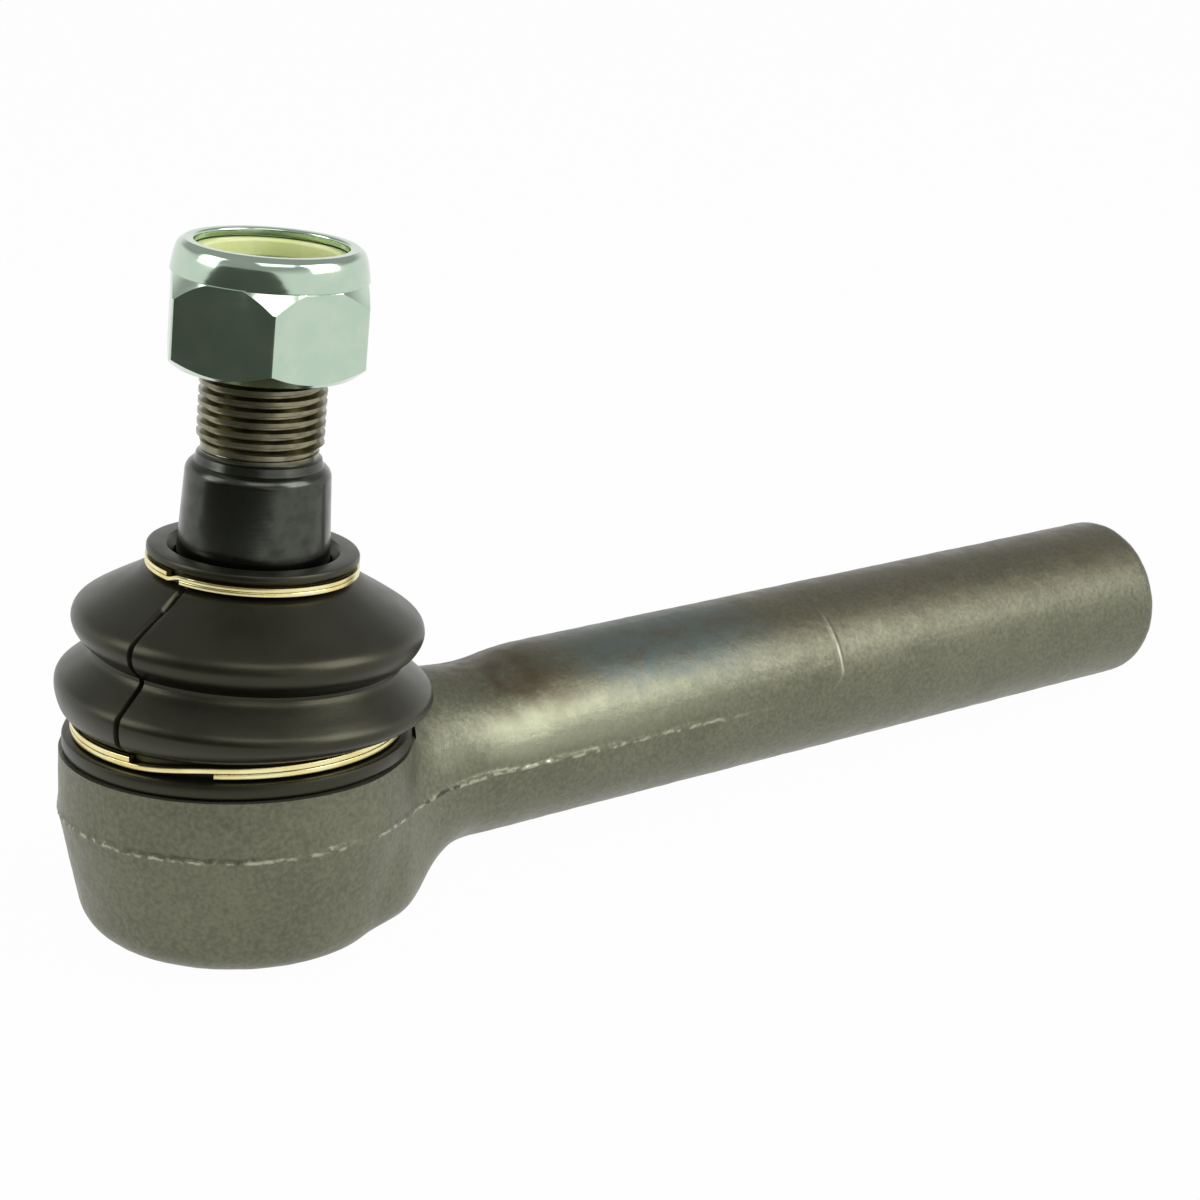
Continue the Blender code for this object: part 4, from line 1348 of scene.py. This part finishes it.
@dataclass
class BootRing(Piece):
    """Flat spiral ring of two turns that clamps the boot."""

    inner: float
    outer: float
    strip: float
    first_rise: float
    second_rise: float
    start_deg: float
    run_deg: float
    place: Callable[[], Matrix]
    turn_steps: int = 150
    jog_steps: int = 14
    edge_share: float = 0.18

    def build(self) -> Item:
        """Sweep the strip through its first turn, the jog and its second turn.

        Returns:
            The finished ring.
        """
        middle = (self.inner + self.outer) / 2
        bpy.ops.mesh.primitive_plane_add(size=1.0, location=(middle, 0, self.first_rise),
                                         rotation=(math.pi / 2, 0, 0))
        bpy.context.object.scale = (self.outer - self.inner, self.strip, 1.0)
        item = added("strip")
        jog = self.jog_steps
        rise = self.second_rise - self.first_rise
        run = math.radians(self.run_deg)
        # seen from above, the operator turns clockwise about +Z
        about = {"center": (0, 0, 0), "axis": (0, 0, -1)}
        with editing(item):
            bpy.ops.mesh.bevel(offset=self.strip * self.edge_share, segments=3, affect="VERTICES")
            bpy.ops.mesh.select_all(action="SELECT")
            bpy.ops.mesh.spin(steps=self.turn_steps, angle=run, **about)
            for index in range(jog):
                bpy.ops.mesh.spin(steps=1, angle=math.radians((360 - self.run_deg) / jog), **about)
                climb = smooth_step(0, jog, index + 1) - smooth_step(0, jog, index)
                bpy.ops.transform.translate(value=(0, 0, climb * rise))
            bpy.ops.mesh.spin(steps=self.turn_steps, angle=run, **about)
            bpy.ops.mesh.select_all(action="SELECT")
            bpy.ops.mesh.fill_holes(sides=0)
            tidy_surface()
        spun = Matrix.Rotation(math.radians(self.start_deg), 4, "Z")
        set_down(item, self.place() @ spun, smooth_deg=30)
        return item


@dataclass
class LockNut(Piece):
    """Hexagon nut with a rolled collar."""

    across_flats: float = 27.0
    corner_deg: float = 0.5
    corner_ease: float = 0.5
    bottom: float = 64.5
    hex_top: float = 78.0
    face_radius: float = 12.9
    lower_corner: float = 66.6
    upper_corner: float = 74.74
    cone_past: float = 0.3
    collar_radius: float = 13.5
    collar_inset: float = 0.05
    collar_foot: Point = (0.3, -0.4)
    collar_wall: tuple[Point, ...] = ((0.45, -0.25), (0.35, 0.6), (0.15, 1.8), (-0.1, 2.8))
    collar_roll: tuple[Point, ...] = ((-0.5, -0.55), (-1.3, 0.0))
    collar_top: float = 82.2
    rim_rounding: float = 0.35
    opening: float = 10.8
    mouth: float = 10.0
    mouth_depth: float = 1.6
    groove: float = 11.6
    groove_floor: float = 0.05
    groove_roof: float = 1.05
    lip: float = 0.2
    lip_depth: float = 0.8
    edge_break: float = 0.16
    edge_break_deg: float = 28.0
    thread_minor: float = 8.4
    thread_major: float = 9.3
    thread_past: Point = (0.2, 0.3)

    def corner_radius(self) -> float:
        """Radius of the hexagon over its sharp corners."""
        return self.across_flats / 2 / math.cos(math.pi / 6)

    def hexagon(self) -> Item:
        """The hexagon bar with eased corners.

        Returns:
            The hexagon's solid.
        """
        height = self.hex_top - self.bottom
        turned = math.radians(self.corner_deg - 30)
        bpy.ops.mesh.primitive_cylinder_add(vertices=6, radius=self.corner_radius(), depth=height,
                                            location=(0, 0, self.bottom + height / 2),
                                            rotation=(0, 0, turned))
        item = added("hexagon")
        points = item.data.vertices
        for polygon in item.data.polygons:
            polygon.select = False
        for point in points:
            point.select = False
        for edge in item.data.edges:
            low, high = (points[index].co.z for index in edge.vertices)
            edge.select = abs(low - high) > height / 2
        with editing(item, choose_all=False):
            bpy.ops.mesh.select_mode(type="EDGE")
            bpy.ops.mesh.bevel(offset=self.corner_ease, segments=4)
            bpy.ops.mesh.select_mode(type="VERT")
        return item

    def build(self) -> Item:
        """Chamfer the hexagon, add the collar and bore the nut.

        Returns:
            The finished nut.
        """
        item = self.hexagon()
        margin = 1.5
        corner = self.corner_radius()
        wide = corner + margin
        lower = (self.lower_corner - self.bottom) / (corner - self.face_radius)
        upper = (self.hex_top - self.upper_corner) / (corner - self.collar_radius)
        peak = self.hex_top + upper * self.cone_past
        envelope = [(0.0, self.bottom), (self.face_radius, self.bottom)]
        envelope.append((wide, self.bottom + lower * (wide - self.face_radius)))
        envelope.append((wide, self.hex_top - upper * (wide - self.collar_radius)))
        envelope += [(self.collar_radius - self.cone_past, peak), (0.0, peak)]
        combine(item, turn("envelope", envelope, steps=144), Cut.KEEP)
        wall = self.collar_radius - self.collar_inset
        foot = self.hex_top + self.collar_foot[1]
        collar = [(0.0, foot), (wall + self.collar_foot[0], foot)]
        knots = [(wall + out, self.hex_top + rise) for out, rise in self.collar_wall]
        knots += [(wall + out, self.collar_top + rise) for out, rise in self.collar_roll]
        collar += spline(knots, steps=5)
        rounding = self.rim_rounding
        collar += arc((self.opening + rounding, self.collar_top - rounding), rounding, 90, 180, steps=4)
        collar += [(self.opening, self.hex_top), (0.0, self.hex_top)]
        combine(item, turn("collar", collar, steps=144), Cut.JOIN)
        combine(item, self.bore(), Cut.TAKE)
        apply(item, "BEVEL", width=self.edge_break, segments=2, limit_method="ANGLE",
              angle_limit=math.radians(self.edge_break_deg))
        ends = (self.bottom - self.thread_past[0], self.hex_top + self.thread_past[1])
        thread = wind_thread("nut_thread", ends, self.thread_minor, self.thread_major, steps=64)
        combine(item, thread, Cut.TAKE)
        set_down(item, on_stud(), smooth_deg=30)
        return item

    def bore(self) -> Item:
        """The plain bore with its mouth and the groove that holds the insert.

        Returns:
            The solid that cuts the bore.
        """
        below = self.bottom - 1.0
        floor = self.hex_top + self.groove_floor
        roof = self.collar_top - self.groove_roof
        inner = self.opening - self.lip
        top = self.collar_top - self.lip_depth
        profile = [(0.0, below), (self.mouth, below), (self.mouth, self.bottom)]
        profile += [(self.thread_minor, self.bottom + self.mouth_depth), (self.thread_minor, floor)]
        profile += [(self.groove, floor), (self.groove, roof), (self.opening, roof)]
        profile += [(inner, roof), (inner, top), (0.0, top)]
        return turn("bore", profile, steps=96)


@dataclass
class LockingInsert(Piece):
    """Nylon ring held in the nut's collar."""

    inner: float = 9.3
    outer: float = 11.3
    low: float = 78.35
    high: float = 80.85
    rounding: float = 0.4

    def build(self) -> Item:
        """Turn the ring with rounded edges.

        Returns:
            The finished insert.
        """
        ease = self.rounding
        low = self.low + ease
        high = self.high - ease
        sides = (self.outer - ease, self.inner + ease)
        corners = ((sides[0], low), (sides[0], high), (sides[1], high), (sides[1], low))
        profile = []
        for index, corner in enumerate(corners):
            profile += arc(corner, ease, 90 * index - 90, 90 * index, steps=4)
        profile.append(profile[0])
        item = turn("insert", profile, steps=96)
        set_down(item, on_stud(), smooth_deg=40)
        return item


@dataclass
class CoverPlate(Piece):
    """Dished plate that closes the eye from below."""

    dimple: tuple[Point, ...] = ((0.0, 0.45), (2.6, 0.45), (3.4, 0.1), (4.0, 0.0))
    plateau: float = 12.1
    plateau_edge: float = 0.9
    flange: float = 16.7
    flange_low: float = 2.8
    flange_high: float = 5.8
    flange_ease: float = 0.3
    dish: float = 9.5
    dish_low: float = 3.0
    dish_wall: Point = (1.0, 0.4)
    dish_inset: float = 1.6

    def build(self) -> Item:
        """Turn the plate with pressed, rounded edges and a shallow centre dimple.

        Returns:
            The finished plate.
        """
        edge = self.plateau_edge
        ease = self.flange_ease
        profile = list(self.dimple)
        profile += arc((self.plateau - edge, edge), edge, -90, 0, steps=6)
        profile += [(self.plateau, self.flange_low), (self.flange - ease, self.flange_low)]
        profile += [(self.flange, self.flange_low + ease), (self.flange, self.flange_high - ease)]
        profile += [(self.flange - ease, self.flange_high), (self.dish, self.flange_high)]
        profile.append((self.dish - self.dish_wall[0], self.dish_low + self.dish_wall[1]))
        profile += [(self.dish - self.dish_inset, self.dish_low), (0.0, self.dish_low)]
        item = turn("cover", profile, steps=96)
        set_down(item, Matrix.Identity(4), smooth_deg=32)
        return item


@dataclass(frozen=True)
class InnerPieces:
    """The frame's own pieces inside the eye, which stay as they are and get a finish."""

    finishes: tuple[tuple[str, str, Finish], ...] = (
        ("upper_bearing_shell", "bearing_plastic", BEARING),
        ("lower_bearing_shell", "bearing_plastic", BEARING),
        ("preload_spring", "spring_steel", SPRING),
        ("cover_seal_ring", "seal_rubber", SEAL),
    )

    def dress(self, nodes: dict[str, Item]) -> None:
        """Give each node its material.

        Args:
            nodes: The frame's nodes by name.
        """
        for node, slot, finish in self.finishes:
            coat(nodes[node], finish, slot)
            log.info("%s: finished as it is", node)


@dataclass(frozen=True)
class Lamp:
    """One soft rectangular lamp that looks at the object's middle."""

    name: str
    heading_deg: float
    height_deg: float
    distance: float
    size: Point
    power: float

    def build(self, target: Vector) -> None:
        """Hang the lamp and aim it at the target.

        Args:
            target: The point it looks at.
        """
        data = bpy.data.lights.new(self.name, "AREA")
        data.shape = "RECTANGLE"
        data.size, data.size_y = self.size
        data.energy = self.power
        item = bpy.data.objects.new(self.name, data)
        bpy.context.scene.collection.objects.link(item)
        heading = math.radians(self.heading_deg)
        height = math.radians(self.height_deg)
        level = math.cos(height)
        back = Vector((level * math.cos(heading), level * math.sin(heading), math.sin(height)))
        turned = back.to_track_quat("Z", "Y").to_matrix().to_4x4()
        item.matrix_world = Matrix.Translation(target + back * self.distance) @ turned


@dataclass(frozen=True)
class Studio:
    """Camera, floor, lamps and world."""

    camera_place: tuple[float, float, float] = (-0.207, -0.3375, 0.1704)
    camera_right: tuple[float, float, float] = (0.7815, -0.6232, 0.0296)
    camera_back: tuple[float, float, float] = (-0.6033, -0.7427, 0.2907)
    lens: float = 85.8
    sensor: float = 36.0
    near_clip: float = 0.01
    floor_size: float = 12.0
    floor_tilt_deg: float = 1.848
    floor_touch: tuple[float, float, float] = (0.01728, 0.0, -0.00002)
    floor_glow: float = 0.98
    floor_colour: Colour = tone(190, 190, 190)
    floor_roughness: float = 0.9
    sky_level: float = 0.45
    zenith_level: float = 0.12
    zenith_band: Point = (0.2, 0.6)
    target: tuple[float, float, float] = (0.06, 0.0, 0.04)
    flag_heading_deg: float = -152.0
    flag_distance: float = 0.4
    flag_lean_deg: float = 50.0
    flag_size: Point = (0.7, 0.55)
    flag_lift: float = 0.01
    flag_colour: Colour = tone(90, 93, 86)
    lamps: tuple[Lamp, ...] = (
        Lamp("key", heading_deg=-54.0, height_deg=36.0, distance=0.9, size=(0.6, 0.6), power=5.0),
        Lamp("side", heading_deg=158.0, height_deg=32.0, distance=0.9, size=(0.4, 0.5), power=2.0),
        Lamp("front", heading_deg=-115.0, height_deg=50.0, distance=1.0, size=(0.6, 0.4), power=1.6),
    )

    def camera(self) -> None:
        """Set the camera up where the photograph was taken from."""
        data = bpy.data.cameras.new("camera")
        data.lens = self.lens
        data.sensor_width = self.sensor
        data.clip_start = self.near_clip
        item = bpy.data.objects.new("camera", data)
        bpy.context.scene.collection.objects.link(item)
        back = Vector(self.camera_back).normalized()
        up = back.cross(Vector(self.camera_right)).normalized()
        turned = Matrix((up.cross(back), up, back)).transposed().to_4x4()
        item.matrix_world = Matrix.Translation(self.camera_place) @ turned
        bpy.context.scene.camera = item

    def floor(self) -> None:
        """Lay a white floor under the eye and the shank's end, on which the part rests."""
        bpy.ops.object.select_all(action="DESELECT")
        bpy.ops.mesh.primitive_plane_add(size=self.floor_size)
        item = bpy.context.object
        item.name = "floor"
        tilt = Matrix.Rotation(-math.radians(self.floor_tilt_deg), 4, "Y")
        item.matrix_world = Matrix.Translation(self.floor_touch) @ tilt
        graph = Graph("floor_white")
        graph.shade(Base_Color=self.floor_colour, Roughness=self.floor_roughness)
        seen = graph.seen_by("Camera", "Glossy", "Transmission")
        glow = graph.wire(graph.node("ShaderNodeEmission"))
        sockets = {0: seen * self.floor_glow, 1: graph.wire(graph.shader), 2: glow}
        surface = graph.wire(graph.node("ShaderNodeMixShader", {}, sockets))
        behind = Wire(graph, graph.node("ShaderNodeNewGeometry").outputs["Backfacing"])
        clear = graph.wire(graph.node("ShaderNodeBsdfTransparent"))
        graph.end_with(graph.wire(graph.node("ShaderNodeMixShader", {}, {0: behind, 1: surface, 2: clear})))
        item.data.materials.append(graph.material)

    def flag(self) -> None:
        """Stand a dark card to the camera's left, which only reflections show."""
        bpy.ops.mesh.primitive_plane_add(size=1.0)
        item = bpy.context.object
        item.name = "flag"
        heading = math.radians(self.flag_heading_deg)
        width, height = self.flag_size
        back = Vector((math.cos(heading), math.sin(heading), 0.0))
        turned = back.to_track_quat("Z", "Y").to_matrix().to_4x4()
        leaned = Matrix.Rotation(math.radians(self.flag_lean_deg), 4, "X")
        rise = height / 2 * math.cos(math.radians(self.flag_lean_deg)) + self.flag_lift
        place = Matrix.Translation(back * self.flag_distance + Vector((0.0, 0.0, rise)))
        item.matrix_world = place @ turned @ leaned @ Matrix.Diagonal((width, height, 1.0, 1.0))
        item.visible_camera = False
        item.visible_diffuse = False
        item.visible_shadow = False
        graph = Graph("flag_black")
        graph.shade(Base_Color=self.flag_colour, Roughness=1.0, Specular_IOR_Level=0.0)
        item.data.materials.append(graph.material)

    def world(self) -> None:
        """White for the camera and low in reflections, a softer level above and as light."""
        world = bpy.data.worlds.new("studio")
        world.use_nodes = True
        graph = Graph.of_tree(world.node_tree)
        upward = graph.split(graph.place)[2]
        above = 1.0 - graph.step(upward, *self.zenith_band) * (1.0 - self.zenith_level)
        reflected = graph.seen_by("Glossy", "Transmission") * above
        strength = graph.most(graph.seen_by("Camera"), reflected, self.sky_level)
        sky = graph.node("ShaderNodeBackground", {}, {"Color": (1.0, 1.0, 1.0, 1.0), "Strength": strength})
        graph.node("ShaderNodeOutputWorld", {}, {"Surface": graph.wire(sky)})
        bpy.context.scene.world = world

    def build(self) -> None:
        """Set all of it up with plain view settings."""
        bpy.context.scene.view_settings.view_transform = "Standard"
        self.camera()
        self.floor()
        self.flag()
        self.world()
        for lamp in self.lamps:
            lamp.build(Vector(self.target))
        log.info("studio: %d lamps", len(self.lamps))


def main() -> None:
    """Load the frame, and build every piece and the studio."""
    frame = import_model()
    pieces = (
        Housing("forged_housing", "housing", Body.HOUSING, "forged_steel", FORGED),
        BallStud("turned_ball_stud", "ball_stud", Body.STUD, "oiled_steel", OILED),
        DustBoot("moulded_dust_boot", "dust_boot", Body.BOOT, "boot_rubber", RUBBER),
        BootRing("wound_boot_ring_lower", "boot_ring_lower", Body.HOUSING, "yellow_zinc", YELLOW_ZINC,
                 inner=23.1, outer=24.1, strip=0.82, first_rise=11.9, second_rise=12.77,
                 start_deg=-129.5, run_deg=329.5, place=on_housing),
        BootRing("wound_boot_ring_upper", "boot_ring_upper", Body.BOOT_TOP, "yellow_zinc", YELLOW_ZINC,
                 inner=14.3, outer=15.3, strip=0.62, first_rise=35.69, second_rise=36.35,
                 start_deg=-163.6, run_deg=350.0, place=on_stud),
        LockNut("rolled_lock_nut", "lock_nut", Body.NUT, "zinc_plate", BRIGHT_ZINC),
        LockingInsert("moulded_locking_insert", "nut_locking_insert", Body.NUT_CLIMB, "nylon", NYLON),
        CoverPlate("pressed_cover_plate", "cover_plate", Body.HOUSING, "pressed_steel", PRESSED),
    )
    for piece in pieces:
        piece.make()
    InnerPieces().dress(frame["nodes"])
    Studio().build()


if __name__ == "__main__":
    logging.basicConfig(level=logging.INFO, format="%(message)s")
    main()
